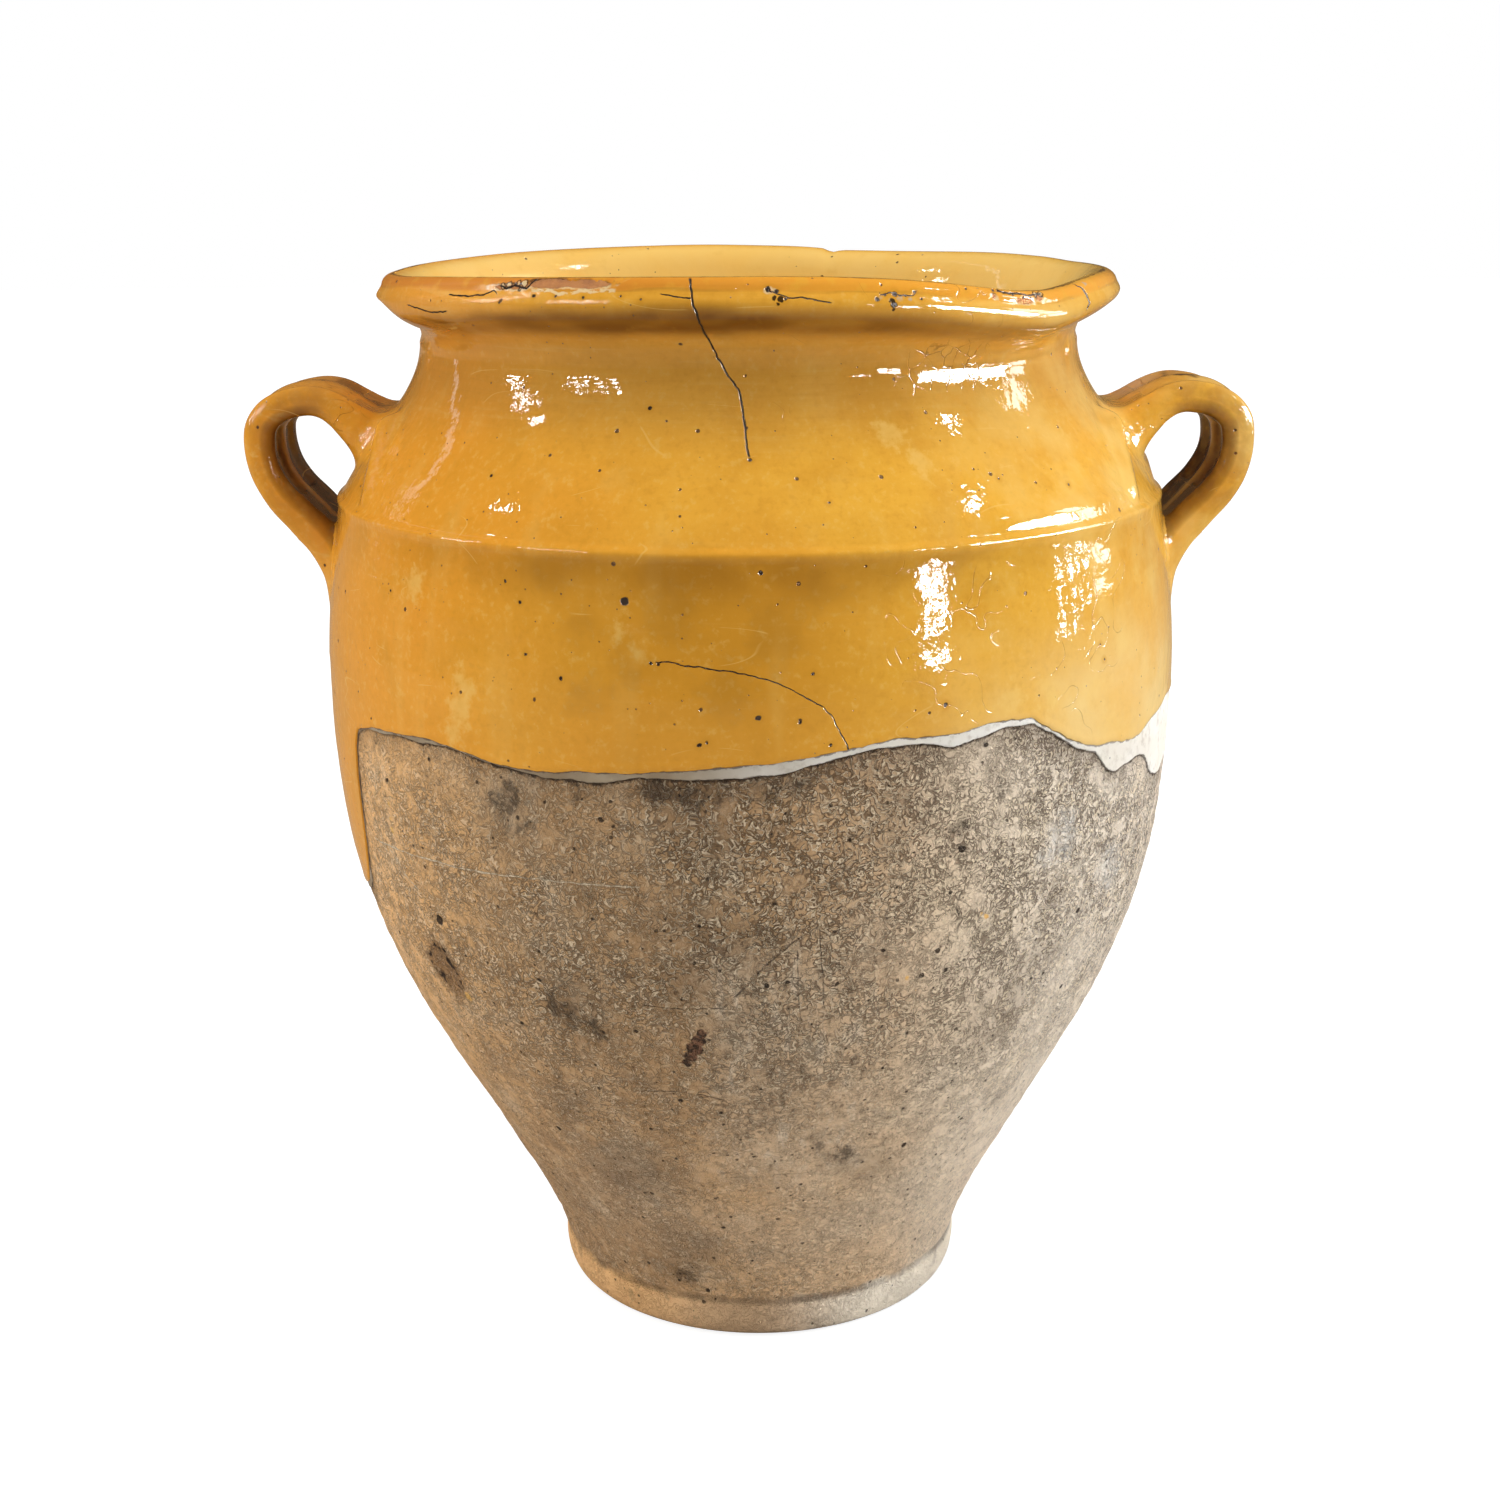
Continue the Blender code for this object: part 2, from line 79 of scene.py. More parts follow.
INSIDE = (
    (95.2, 317), (95.6, 311), (99.2, 301), (104.2, 291), (110.8, 281), (118.4, 270), (123, 260),
    (127.5, 235), (128.3, 210), (127, 185), (123.2, 160), (117.2, 140), (109.2, 120), (100.8, 100),
    (90, 80), (80, 60), (69, 40), (60, 24), (50, 15.5), (38, 12.6), (20, 12), (4, 12),
)

# Heights round the pot, as (degrees from the front towards the right handle, height).
CREST = (
    (-170, 349.6), (-155, 349.4), (-134, 348.8), (-118, 347.9), (-105, 347.2), (-88, 346.4), (-70, 346.9),
    (-54, 348), (-39, 348.9), (-32, 349.2), (-19, 349.7), (-7, 349.9), (1, 349.9), (9, 349.7), (18, 348.9),
    (27, 347.4), (36, 345.3), (43, 343.8), (49, 343.4), (55, 344.1), (61, 345.1), (68, 345.9), (78, 346.4),
    (92, 346.5), (105, 346.5), (117, 347.3), (130, 347.7), (152, 347.3), (162, 347.4), (164, 346.8),
    (166, 348.1), (179, 349.2),
)
UNDER_LIP = (
    (-150, 0.2), (-110, 2.4), (-90, 3.9), (-76, 3.3), (-63, -0.2), (-52, -0.8), (-38, 0), (20, 0),
    (44, 0.6), (58, 1.4), (74, 2.7), (92, 3.2), (112, 2), (140, 0.6),
)
GLAZE_EDGE = (
    (-180, 184), (-165, 181), (-150, 174.5), (-135, 168), (-118, 159), (-100, 153.5), (-85, 150.5),
    (-76, 151), (-69, 155.5), (-65.4, 163), (-63.6, 172), (-62.9, 182), (-62.4, 195), (-61.7, 206.5),
    (-60.6, 211), (-58, 213), (-56, 214), (-52, 215.2), (-48, 215.8), (-44, 216.9), (-40.5, 216.6),
    (-37, 215.7), (-32, 214.1), (-28, 213.6), (-24, 213.7), (-20, 214.7), (-13, 215.9), (-6, 217.5),
    (1, 218.9), (8, 220.9), (12, 222.9), (17, 224.4), (25, 224.6), (30, 225.6), (35, 225.4), (37, 222.3),
    (40, 218.3), (43, 214.8), (48, 211.6), (52, 210.4), (55, 209.4), (58, 209.2), (62, 211.4), (66, 212.3),
    (71, 214.5), (78, 213), (90, 208), (104, 203.5), (118, 199.5), (132, 197), (146, 192.5), (160, 190.5),
    (172, 185.5),
)
SLIP_EDGE = (
    (-180, 179.5), (-165, 175), (-150, 169.5), (-135, 163.5), (-118, 155), (-100, 150), (-85, 147.6),
    (-76, 148.4), (-70, 152), (-66.4, 158), (-64.4, 168), (-63.7, 180), (-63.2, 194), (-62.4, 205),
    (-61, 209.7), (-59, 211.6), (-56, 213.4), (-52, 214.4), (-49, 215.2), (-45, 215.6), (-41, 215.8),
    (-38, 215.1), (-34, 214.2), (-31, 213.4), (-28, 212.8), (-24, 212.4), (-20, 212.2), (-18, 212.1),
    (-15.5, 213.2), (-13, 214.1), (-9, 214.2), (-6, 214.6), (-2, 214.9), (1, 215.4), (5, 217.3),
    (10, 219.8), (15, 221.9), (20, 221.9), (24, 220.5), (26, 221), (28, 221.9), (32, 223.7), (35, 223.4),
    (37, 221.7), (40, 217.7), (43, 213.2), (45, 211.2), (47, 209.6), (48.6, 206.4), (50, 203), (52, 201.3),
    (55, 202), (59, 202.4), (60.5, 201.7), (62, 199.4), (63.5, 195.5), (65, 192.8), (70, 190.8),
    (76, 192.5), (84, 188.5), (92, 190.5), (104, 186.5), (118, 188.5), (132, 184.5), (146, 185),
    (160, 181), (172, 181.5),
)

# One strap's middle line from shoulder to wall: (across, height, width, thickness).
STRAP = (
    (113, 290, 53, 18), (119, 293.2, 50.5, 17.2), (124, 296.3, 47.5, 15), (128.2, 299.6, 45, 12.6),
    (132.4, 303, 42.8, 10.8), (136.6, 305.5, 41.2, 10), (141, 306.6, 40.2, 9.8), (146, 306.3, 40, 10),
    (150.8, 305, 40, 10.4), (155, 302.3, 40, 10.8), (157.7, 298.4, 40, 11.2), (158.4, 293.4, 40, 11.4),
    (158, 287.8, 40, 11.5), (156.3, 282.2, 40, 11.6), (152.4, 275.6, 40, 11.7), (146, 268.5, 40, 11.8),
    (139.8, 261.2, 40.2, 11.8), (135.6, 252.8, 41, 11.4), (133.6, 243.6, 41.4, 9.6), (131.6, 234.6, 40, 7),
)
STRAP_CORNER = 5.5
STRAP_WRAP_RADIUS = 134

# How far out each strap may reach, and how much of that is a soft stop.
STRAP_REACH = {-1: 164.2, 1: 164.4}
STRAP_STOP = 1.2

# A thumbed tongue of clay runs down the shoulder from each corner of a handle's upper root,
# here as (degrees, height, size, depth under the skin) at its two ends.
TONGUE_TOP = (73, 297, 7.4, 4.2)
TONGUE_TIP = (63.6, 281.6, 2.6, 1.5)
TONGUE_BLEND = 2.6


def smooth_step(low, high, value):
    """A smooth rise from 0 at low to 1 at high, or a fall where low is the larger."""
    share = np.clip((value - low) / (high - low), 0, 1)
    return share * share * (3 - 2 * share)


def hump(middle, reach, value):
    """1 at the middle, and 0 from reach outwards on both sides."""
    return smooth_step(reach, 0, np.abs(value - middle))


def dimple(across, up):
    """1 in the middle of a round mark, and 0 from its edge outwards."""
    return hump(0, 1, np.hypot(across, up))


def blend(start, end, share):
    return start + (end - start) * share


def stacked(*parts):
    """Points or directions from their parts, each spread to the shape of all."""
    return np.stack(np.broadcast_arrays(*parts), axis=-1)


def turned(degrees, radius, height):
    """The point at an angle from the front, a radius and a height."""
    turn = np.radians(degrees)
    return stacked(radius * np.sin(turn), -radius * np.cos(turn), height)


def run_lengths(line):
    """The length run along a line, at each of its points."""
    return np.concatenate(([0], np.cumsum(np.linalg.norm(np.diff(line, axis=0), axis=1))))


def curve_through(points, value):
    """A smooth curve through (place, height) points that never overshoots them, read at value."""
    place, height = np.array(points, float).T
    step = np.diff(place)
    slope = np.diff(height) / step
    rising = slope[:-1] * slope[1:] > 0
    first = 2 * step[1:] + step[:-1]
    second = step[1:] + 2 * step[:-1]
    divisor = first / np.where(rising, slope[:-1], 1) + second / np.where(rising, slope[1:], 1)
    inner = np.where(rising, (first + second) / np.where(rising, divisor, 1), 0)
    tangent = np.concatenate((slope[:1], inner, slope[-1:]))
    at = np.clip(np.searchsorted(place, value) - 1, 0, len(step) - 1)
    share = np.clip((value - place[at]) / step[at], 0, 1)
    keep = 1 + share * share * (2 * share - 3)
    leave = share * (1 - share) ** 2 * step[at]
    arrive = share * share * (share - 1) * step[at]
    return height[at] * keep + height[at + 1] * (1 - keep) + tangent[at] * leave + tangent[at + 1] * arrive


def around(points, degrees):
    """curve_through for a table that closes on itself after a full turn."""
    table = list(points)
    before = [(a - 360, h) for a, h in table[-3:]]
    after = [(a + 360, h) for a, h in table[:3]]
    start = table[0][0]
    return curve_through(before + table + after, (np.asarray(degrees, float) - start) % 360 + start)


def lumps(points, size, seed):
    """Smooth noise from -1 to 1 whose lumps are about size across."""
    moved = np.asarray(points, float) / size + 31.7 * seed
    cell = np.floor(moved).astype(np.int64)
    share = moved - cell
    share = share ** 3 * (share * (share * 6 - 15) + 10)
    total = np.zeros(moved.shape[:-1])
    for corner in range(8):
        shift = np.array([corner & 1, corner >> 1 & 1, corner >> 2 & 1])
        at = cell + shift
        mixed = at[..., 0] * 73856093 ^ at[..., 1] * 19349663 ^ at[..., 2] * 83492791 ^ seed * 2654435
        mixed = (mixed ^ mixed >> 13) * 1274126177
        height = ((mixed ^ mixed >> 16) & 0xFFFF) / 32767.5 - 1
        total += height * np.where(shift == 1, share, 1 - share).prod(axis=-1)
    return total


def moved_lumps(points, size, seed):
    """Smooth noise that has been shifted about by other noise, for swirling folds."""
    shift = stacked(*[lumps(points, size * 1.7, seed + n) for n in (1, 2, 3)])
    return lumps(points + shift * size * 0.8, size, seed)


def rounded_line(points, spacing):
    """A line of even short steps through points, with rounded turns."""
    given = np.array(points, float)
    ends = np.vstack((2 * given[0] - given[1], given, 2 * given[-1] - given[-2]))
    knots = np.concatenate(([0], np.cumsum(np.linalg.norm(np.diff(ends, axis=0), axis=1) ** 0.5)))
    drawn = []
    for i in range(1, len(ends) - 2):
        t = np.linspace(knots[i], knots[i + 1], 24, endpoint=False)[:, None]
        k = knots[i - 1:i + 3]
        row = ends[i - 1:i + 3]
        for reach in (1, 2):
            row = [blend(row[j], row[j + 1], (t - k[j]) / (k[j + reach] - k[j])) for j in range(len(row) - 1)]
        drawn.append(blend(row[0], row[1], (t - k[1]) / (k[2] - k[1])))
    line = np.vstack(drawn + [given[-1:]])
    length = run_lengths(line)
    even = np.linspace(0, length[-1], max(2, int(round(length[-1] / spacing)) + 1))
    return np.column_stack([np.interp(even, length, column) for column in line.T])


class Outline:
    """The glaze's surface from low on the wall, over the lip and down inside to the floor's middle."""

    def __init__(self):
        heights = np.arange(100, 273)
        parts = [np.column_stack((curve_through(WALL, heights) + COAT, heights))]
        parts += [rounded_line(points, 0.25)[1:] for points in (RIDGE, SHOULDER, LIP, INSIDE)]
        self.line = np.vstack(parts)
        self.length = run_lengths(self.line)
        self.top = int(np.argmax(self.line[:, 1])) + 1
        along = np.gradient(self.line, self.length, axis=0)
        level = np.maximum.accumulate(smooth_step(240, 265, self.line[:, 1]))[:, None]
        out = blend(np.array([1, 0]), np.column_stack((along[:, 1], -along[:, 0])), level)
        self.out = out / np.linalg.norm(out, axis=1)[:, None]

    def read(self, run):
        """Radius, height and the outward direction's two parts."""
        return [np.interp(run, self.length, part) for part in (*self.line.T, *self.out.T)]

    def run_at(self, height):
        """The length run where the outside first reaches a height."""
        return np.interp(height, self.line[:self.top, 1], self.length[:self.top])


OUTLINE = Outline()
OUTER = OUTLINE.line[:OUTLINE.top]
RUN_CREST = float(OUTLINE.run_at(CREST_HEIGHT - 0.01))
LINING_RUN = RUN_CREST + 22
GLAZE_END_RUN = RUN_CREST + 27


def column_angles(count):
    """Degrees round the pot, closer together on the front and both handles."""
    fine = np.linspace(-math.pi, math.pi, 7201)
    closeness = 1 + 0.8 * smooth_step(math.radians(128), math.radians(104), np.abs(fine))
    total = np.concatenate(([0], np.cumsum((closeness[1:] + closeness[:-1]) * 0.5)))
    return np.degrees(np.interp(np.arange(count) / count * total[-1], total, fine))


def wrapped(degrees):
    """An angle between -180 and 180 degrees."""
    return (degrees + 180) % 360 - 180


def angle_of(points):
    return np.degrees(np.arctan2(points[:, 0], -points[:, 1]))


def unevenness(degrees, height):
    """How far the thrown wall stands in or out of its true radius."""
    at = turned(degrees, 135, height)
    rings = np.sin(height * 0.62 + 0.5 * np.sin(np.radians(degrees)) + 2.2 * lumps(at, 40, 3)) * 0.02
    soft = 0.2 * lumps(at, 48, 1) + 0.1 * lumps(at, 19, 2)
    dents = -0.5 * dimple((degrees + 13.6) / 3.2, (height - 253) / 7)
    dents = dents - 0.28 * dimple((degrees - 19) / 3, (height - 237) / 6)
    clear = dimple((np.abs(wrapped(degrees)) - 90) / 34, (height - 272) / 52)
    edge = 0.12 * lumps(at, 7, 4) * hump(276.5, 4, height)
    thick_edge = 1.1 * smooth_step(28, 35, degrees) * smooth_step(62, 54, degrees)
    thick_edge = thick_edge * np.clip((height - 277) / 4.3, 0, 1) * smooth_step(287, 281.3, height)
    fill = 2.2 * hump(90, 15, degrees) * hump(285.8, 8.2, height)
    wall = (rings + soft + edge - 0.16) * (1 - clear) * smooth_step(329, 312, height)
    return wall + dents + thick_edge + fill


def lip_move(degrees, height):
    """How the sagging lip moves a point up or down, and out."""
    down = (around(CREST, degrees) - CREST_HEIGHT) * smooth_step(316, 340, height)
    under = around(UNDER_LIP, degrees) * smooth_step(322, 332, height) * smooth_step(345, 337, height)
    right = hump(88, 36, degrees)
    left = hump(-88, 36, degrees)
    wide = -0.9 * smooth_step(312, 324, height) - 0.7 * smooth_step(330, 340, height)
    wide = wide * np.sin(np.radians(degrees)) ** 2
    wide = wide + (0.55 * right + 0.8 * left) * smooth_step(332, 340, height)
    return down + under, wide + 0.9 * right * hump(346.2, 5.5, height)


def place(degrees, radius, height):
    """Points of the pot in millimetres, where its lower part leans a little off its axis."""
    lean = LEAN * np.clip(1 - height / LEAN_TOP, 0, 1)
    return turned(degrees, radius, height) + stacked(lean, 0, 0)


def pot_surface(degrees, run, offset):
    """Points on the glaze's surface, or offset from it, and the outward directions there."""
    radius, height, out_r, out_z = OUTLINE.read(run)
    move = offset + np.where(run <= RUN_CREST, unevenness(degrees, height), 0)
    up, wide = lip_move(degrees, height)
    up = np.where(height > 300, up, 0)
    points = place(degrees, radius + out_r * move + wide, height + out_z * move + up)
    return points, turned(degrees, out_r, out_z)


def nearest(points, line):
    """Distance from each point of a plane to a line, and the place along it as a number of its points."""
    best = np.full(len(points), 1e9)
    along = np.zeros(len(points))
    for i, start in enumerate(line[:-1]):
        step = line[i + 1] - start
        share = np.clip((points - start) @ step / (step @ step), 0, 1)
        gap = np.linalg.norm(points - start - share[:, None] * step, axis=1)
        closer = gap < best
        best[closer] = gap[closer]
        along[closer] = i + share[closer]
    return best, along


def soft_least(a, b, reach):
    """The lesser of two distances, with a fillet where they are alike."""
    near = np.maximum(reach - np.abs(a - b), 0) / reach
    return np.minimum(a, b) - near * near * reach * 0.25


STRAP_LINE = rounded_line(STRAP, 1)
POT_LINE = OUTER[(OUTER[:, 1] > 222) & (OUTER[:, 1] < 333)][::3]


def wrap_of(points):
    """How far the strap's sides draw back to follow the round wall near its roots."""
    side = np.clip(np.abs(points[:, 1]), 0, 40)
    back = STRAP_WRAP_RADIUS - np.sqrt(STRAP_WRAP_RADIUS ** 2 - side ** 2)
    return back * smooth_step(157, 138, points[:, 0])


def corner_of(half_depth):
    """The radius of the strap's rounded corners where it is this deep."""
    return np.minimum(STRAP_CORNER, half_depth * 0.92)


def strap_distance(points):
    """Distance from the right strap's skin, negative inside it."""
    gap, along = nearest(np.column_stack((points[:, 0] + wrap_of(points), points[:, 2])), STRAP_LINE[:, :2])
    stations = np.arange(len(STRAP_LINE))
    half_width, half_depth = [np.interp(along, stations, STRAP_LINE[:, n]) / 2 for n in (2, 3)]
    corner = corner_of(half_depth)
    a = np.abs(points[:, 1]) - (half_width - corner)
    b = gap - (half_depth - corner)
    return np.hypot(np.maximum(a, 0), np.maximum(b, 0)) + np.minimum(np.maximum(a, b), 0) - corner


def tongue_distance(points):
    """Distance from the thumbed tongues beside the right handle's upper root."""
    ends = []
    for degrees, height, size, sunk in (TONGUE_TOP, TONGUE_TIP):
        radius = np.interp(height, OUTER[:, 1], OUTER[:, 0]) - sunk
        ends.append(np.abs(turned(degrees, radius, height)))
    top, tip = ends
    folded = np.abs(points)
    step = tip - top
    share = np.clip((folded - top) @ step / (step @ step), 0, 1)
    return np.linalg.norm(folded - top - share[:, None] * step, axis=1) - blend(
        TONGUE_TOP[2], TONGUE_TIP[2], share)


def pot_distance(points):
    """Distance from the pot's skin beside a handle, negative inside it."""
    flat = np.column_stack((np.hypot(points[:, 0], points[:, 1]), points[:, 2]))
    gap = nearest(flat, POT_LINE)[0]
    inside = flat[:, 0] < np.interp(flat[:, 1], POT_LINE[:, 1], POT_LINE[:, 0])
    return soft_least(np.where(inside, -gap, gap), tongue_distance(points), TONGUE_BLEND)


def joined(points, directions, is_strap):
    """Moves the skin of the pot or the strap out until the two meet in one fillet."""
    mirror = np.hstack((np.sign(points[:, :1]), np.ones((len(points), 2))))
    start = points * mirror
    ways = directions * mirror
    moved = start
    gone = np.zeros(len(points))
    for _ in range(9):
        pot = pot_distance(moved)
        strap = strap_distance(moved)
        both = soft_least(pot, strap, 3.4 + 3.4 * smooth_step(276, 292, moved[:, 2]))
        past = (strap - pot) if is_strap else (pot - strap)
        goal = -np.maximum(past - 0.8, 0) - (0 if is_strap else 0.04)
        gone = np.clip(gone + np.maximum(goal - both, 0), 0, 6)
        moved = start + ways * gone[:, None]
    return moved * mirror


def build_mesh(name, points, faces, marks=None):
    """A smooth-shaded mesh object from points in millimetres."""
    mesh = bpy.data.meshes.new(name)
    faces = [np.asarray(part, np.int32) for part in faces]
    corners = np.concatenate([part.ravel() for part in faces])
    sizes = np.concatenate([np.full(len(part), part.shape[1], np.int32) for part in faces])
    starts = np.concatenate(([0], np.cumsum(sizes)[:-1])).astype(np.int32)
    mesh.vertices.add(len(points))
    mesh.vertices.foreach_set("co", (np.asarray(points, float) * MM).astype(np.float32).ravel())
    mesh.loops.add(len(corners))
    mesh.loops.foreach_set("vertex_index", corners)
    mesh.polygons.add(len(sizes))
    mesh.polygons.foreach_set("loop_start", starts)
    mesh.polygons.foreach_set("loop_total", sizes)
    mesh.polygons.foreach_set("use_smooth", np.ones(len(sizes), bool))
    mesh.update(calc_edges=True)
    mesh.validate()
    for key, values in (marks or {}).items():
        layer = mesh.attributes.new(key, "FLOAT", "POINT")
        layer.data.foreach_set("value", np.asarray(values, np.float32).ravel())
    piece = bpy.data.objects.new(name, mesh)
    bpy.context.scene.collection.objects.link(piece)
    return piece


def ring_faces(rows, columns, closed_rows=False):
    """Four-sided faces between rings of points, one ring after another."""
    row = np.arange(rows if closed_rows else rows - 1)[:, None] * columns
    after = (row + columns) % (rows * columns)
    column = np.arange(columns)
    beside = (column + 1) % columns
    return stacked(row + column, row + beside, after + beside, after + column).reshape(-1, 4)


def fan_faces(ring_start, columns, centre, flipped):
    """Three-sided faces from one ring to a single point."""
    column = np.arange(columns)
    here = ring_start + column
    beside = ring_start + (column + 1) % columns
    return stacked(beside, here, centre) if flipped else stacked(here, beside, centre)


def coat_mesh(name, columns, outer, back, marks):
    """A closed skin from the grids of its outer points and of its back."""
    points = np.vstack((outer.reshape(-1, 3), back.reshape(-1, 3)))
    return build_mesh(name, points, [ring_faces(len(points) // columns, columns, True)], marks)


def near_handles(points):
    """Which points are close enough to a handle's root to take part in its joint."""
    across, deep, high = np.abs(points.T)
    return (across > 98) & (high > 226) & (high < 326) & (deep < 62)


def edge_wobble(degrees, seed):
    """The small unevenness of a coat's running edge."""
    at = turned(180 - degrees, 140, 0)
    return 0.55 * lumps(at, 9, seed) + 0.38 * lumps(at, 4.2, seed + 1) + 0.2 * lumps(at, 2.2, seed + 2)


def glaze_edge(degrees):
    """The height of the glaze's lower edge."""
    return around(GLAZE_EDGE, degrees) + edge_wobble(degrees, 11) * 0.8


def slip_edge(degrees):
    """The height of the slip's lower edge, which stays under the glaze's."""
    return np.minimum(around(SLIP_EDGE, degrees) + edge_wobble(degrees, 21), glaze_edge(degrees) - 0.35)


def rounded_edge(distance, reach):
    """0 at a coat's edge, and 1 from reach inwards, with a round shoulder between."""
    return np.sqrt(1 - (1 - np.clip(distance / reach, 0, 1)) ** 2)


# The lip's chips, as (degrees, run below the crest, half width in degrees, half height).
CHIPS = (
    (-27.6, 3.1, 3.9, 1.7), (-22.6, 3.4, 3.6, 1.5), (-33.6, 4.2, 1.7, 0.9), (-36.6, 4.6, 1.3, 0.6),
    (36.4, 4.2, 0.5, 0.7), (42.4, 4.8, 1.7, 1), (45.9, 3.6, 0.8, 1.2), (2.9, 5.6, 0.5, 0.5),
    (163, 0.5, 1, 1.2), (112, 3.6, 1.4, 1), (-128, 3, 2.2, 1.3), (-84, 3.4, 0.8, 0.9),
)
NO_CHIP = 9
FAR_FROM_EDGE = 50
MM_PER_DEGREE = 2.05


def chip_gap(degrees, run):
    """Distance from the edge of the lip's chips, negative inside them."""
    best = NO_CHIP
    for angle, below, half_turn, half_run in CHIPS:
        shape = np.hypot((degrees - angle) / half_turn, (run - RUN_CREST + below) / half_run)
        best = np.minimum(best, (shape - 1) * min(half_run, half_turn * MM_PER_DEGREE))
    return best


def glaze_marks(points, run, chips=NO_CHIP, from_edge=FAR_FROM_EDGE):
    """What the glaze's material reads at each point of the pot or a strap."""
    degrees = angle_of(points)
    below_crest = RUN_CREST - run
    lower = 11.6 + 2.4 * smooth_step(12, 55, np.abs(wrapped(degrees + 4)))
    flattened = points * (0.35, 0.35, 1)
    ragged = 0.9 * lumps(flattened, 5, 71) + 0.8 * lumps(flattened, 12, 72)
    # Under the lip's roll: pooled glaze and painted shade, stronger at the front.
    under = smooth_step(26, 17, below_crest + 1.2 * ragged)
    under = under * smooth_step(lower - 3.4, lower + 2, below_crest + ragged)
    spread = np.zeros(len(points))
    return {
        "run": run,
        "inner": smooth_step(RUN_CREST - 0.5, RUN_CREST + 6, run),
        "pooled_glaze_and_shade": under * (0.5 + 0.5 * hump(-12, 95, wrapped(degrees))),
        "band": smooth_step(0.2, 1.2, below_crest) * smooth_step(5.8, 4.9, below_crest + 0.5 * ragged),
        "chip": chips + spread,
        "from_edge": np.minimum(from_edge, FAR_FROM_EDGE) + spread,
    }


def make_glaze():
    """The outside glaze: a closed skin from its running edge over the lip into the mouth."""
    angles = column_angles(GLAZE_COLUMNS)
    even = np.ones(GLAZE_COLUMNS)
    edge_run = OUTLINE.run_at(glaze_edge(angles))
    low_top, ridge_low, ridge_high, neck, lip_low = OUTLINE.run_at((240, 272.5, 279.5, 320, 327))
    inside_lip = RUN_CREST + 14
    rows = [edge_run + d for d in (0, 0.2, 0.5, 0.9, 1.4, 2.1, 3)]
    rows += [blend(rows[-1], low_top, s) for s in np.linspace(0, 1, 27)[1:]]
    for low, high, step in (
            (low_top, ridge_low, 1.6), (ridge_low, ridge_high, 0.55), (ridge_high, lip_low, 1.6),
            (lip_low, inside_lip, 0.92), (inside_lip, GLAZE_END_RUN, 1.8)):
        rows += [even * level for level in np.linspace(low, high, math.ceil((high - low) / step) + 1)[1:]]
    run = np.array(rows)
    from_edge = run - edge_run
    offset = 0.12 * hump(1.7, 1.6, from_edge) - 0.5 * (1 - rounded_edge(from_edge, 1))
    offset = offset - 0.5 * smooth_step(GLAZE_END_RUN - 3.2, GLAZE_END_RUN, run)
    wild = lumps(stacked(angles * 2, run, 0), 1.9, 5) * 0.25
    offset = offset - 0.6 * smooth_step(0.2, -0.5, chip_gap(angles, run) + wild)
    outer, out = pot_surface(angles, run, offset)
    outer = outer.reshape(-1, 3)
    near = near_handles(outer)
    outer[near] = joined(outer[near], out.reshape(-1, 3)[near], False)
    back_rows = [edge_run + 0.1] + [blend(edge_run, low_top, s) for s in (0.25, 0.6, 1)]
    levels = (*np.linspace(low_top, neck, 9)[1:], *np.linspace(neck, GLAZE_END_RUN, 22)[1:])
    back_run = np.array(back_rows + [even * level for level in levels])[::-1]
    back = pot_surface(angles, back_run, np.where(back_run > GLAZE_END_RUN - 0.1, -0.56, -0.62))[0]
    points = np.vstack((outer, back.reshape(-1, 3)))
    all_run = np.concatenate((run.ravel(), back_run.ravel()))
    edge = np.concatenate((from_edge.ravel(), np.full(back_run.size, FAR_FROM_EDGE)))
    marks = glaze_marks(points, all_run, chip_gap(angle_of(points), all_run), edge)
    return coat_mesh("outside_glaze", GLAZE_COLUMNS, outer, back, marks)


def make_slip():
    """The white slip: a closed skin that shows as a band under the glaze's edge."""
    angles = column_angles(GLAZE_COLUMNS)
    low = OUTLINE.run_at(slip_edge(angles))
    glaze_run = OUTLINE.run_at(glaze_edge(angles))
    high = glaze_run + 7
    rows = [low + d for d in (0, 0.12, 0.3, 0.6, 1)]
    rows += [blend(rows[-1], high, s) for s in np.linspace(0, 1, 13)[1:]]
    run = np.array(rows)
    from_edge = run - low
    grain = lumps(place(angles, 139, run), 6, 8) * 0.05
    outer = pot_surface(angles, run, (0.43 + grain) * rounded_edge(from_edge, 0.55) - 0.88)[0]
    back_run = np.array([blend(low, high, s) for s in (1, 0.5, 0)])
    back = pot_surface(angles, back_run, -1.05)[0]
    marks = {
        "below_glaze": np.concatenate((glaze_run - run, glaze_run - back_run)),
        "from_edge": np.concatenate((from_edge, np.full(back_run.shape, 20))),
    }
    return coat_mesh("white_slip", GLAZE_COLUMNS, outer, back, marks)


def clay_relief(points, degrees, height):
    """The bare wall's rough skin."""
    rough = smooth_step(12, 20, height) * smooth_step(270, 240, height)
    folds = smooth_step(0.42, 0, np.abs(moved_lumps(points, 6.2, 31)))
    folds = folds * smooth_step(-0.5, 0.5, lumps(points, 38, 32))
    grain = 0.12 * lumps(points, 4, 33) + 0.14 * lumps(points, 10, 34)
    rings = 0.07 * np.sin(height * 0.9 + 1.2 * lumps(points, 70, 35))
    welt = 0.5 * hump(12 + 0.5 * np.sin(height * 0.35), 0.9, degrees) * hump(196, 26, height)
    plate = hump(0, 1, (degrees - 7.8) * 0.83 - (height - 170) * 0.36)
    scrape = -0.35 * plate * hump(1.5, 9, degrees) * smooth_step(172, 169, height)
    up = height - 127.5
    gouge = -0.6 * dimple((degrees + 8.4 - up * 0.19) / 0.8, up / 6)
    scar = -0.5 * dimple((degrees + 48.4) / 2.6, (height - 137.5) / 5.5)
    return (0.15 * folds + grain + rings + welt + scrape + gouge + scar) * rough


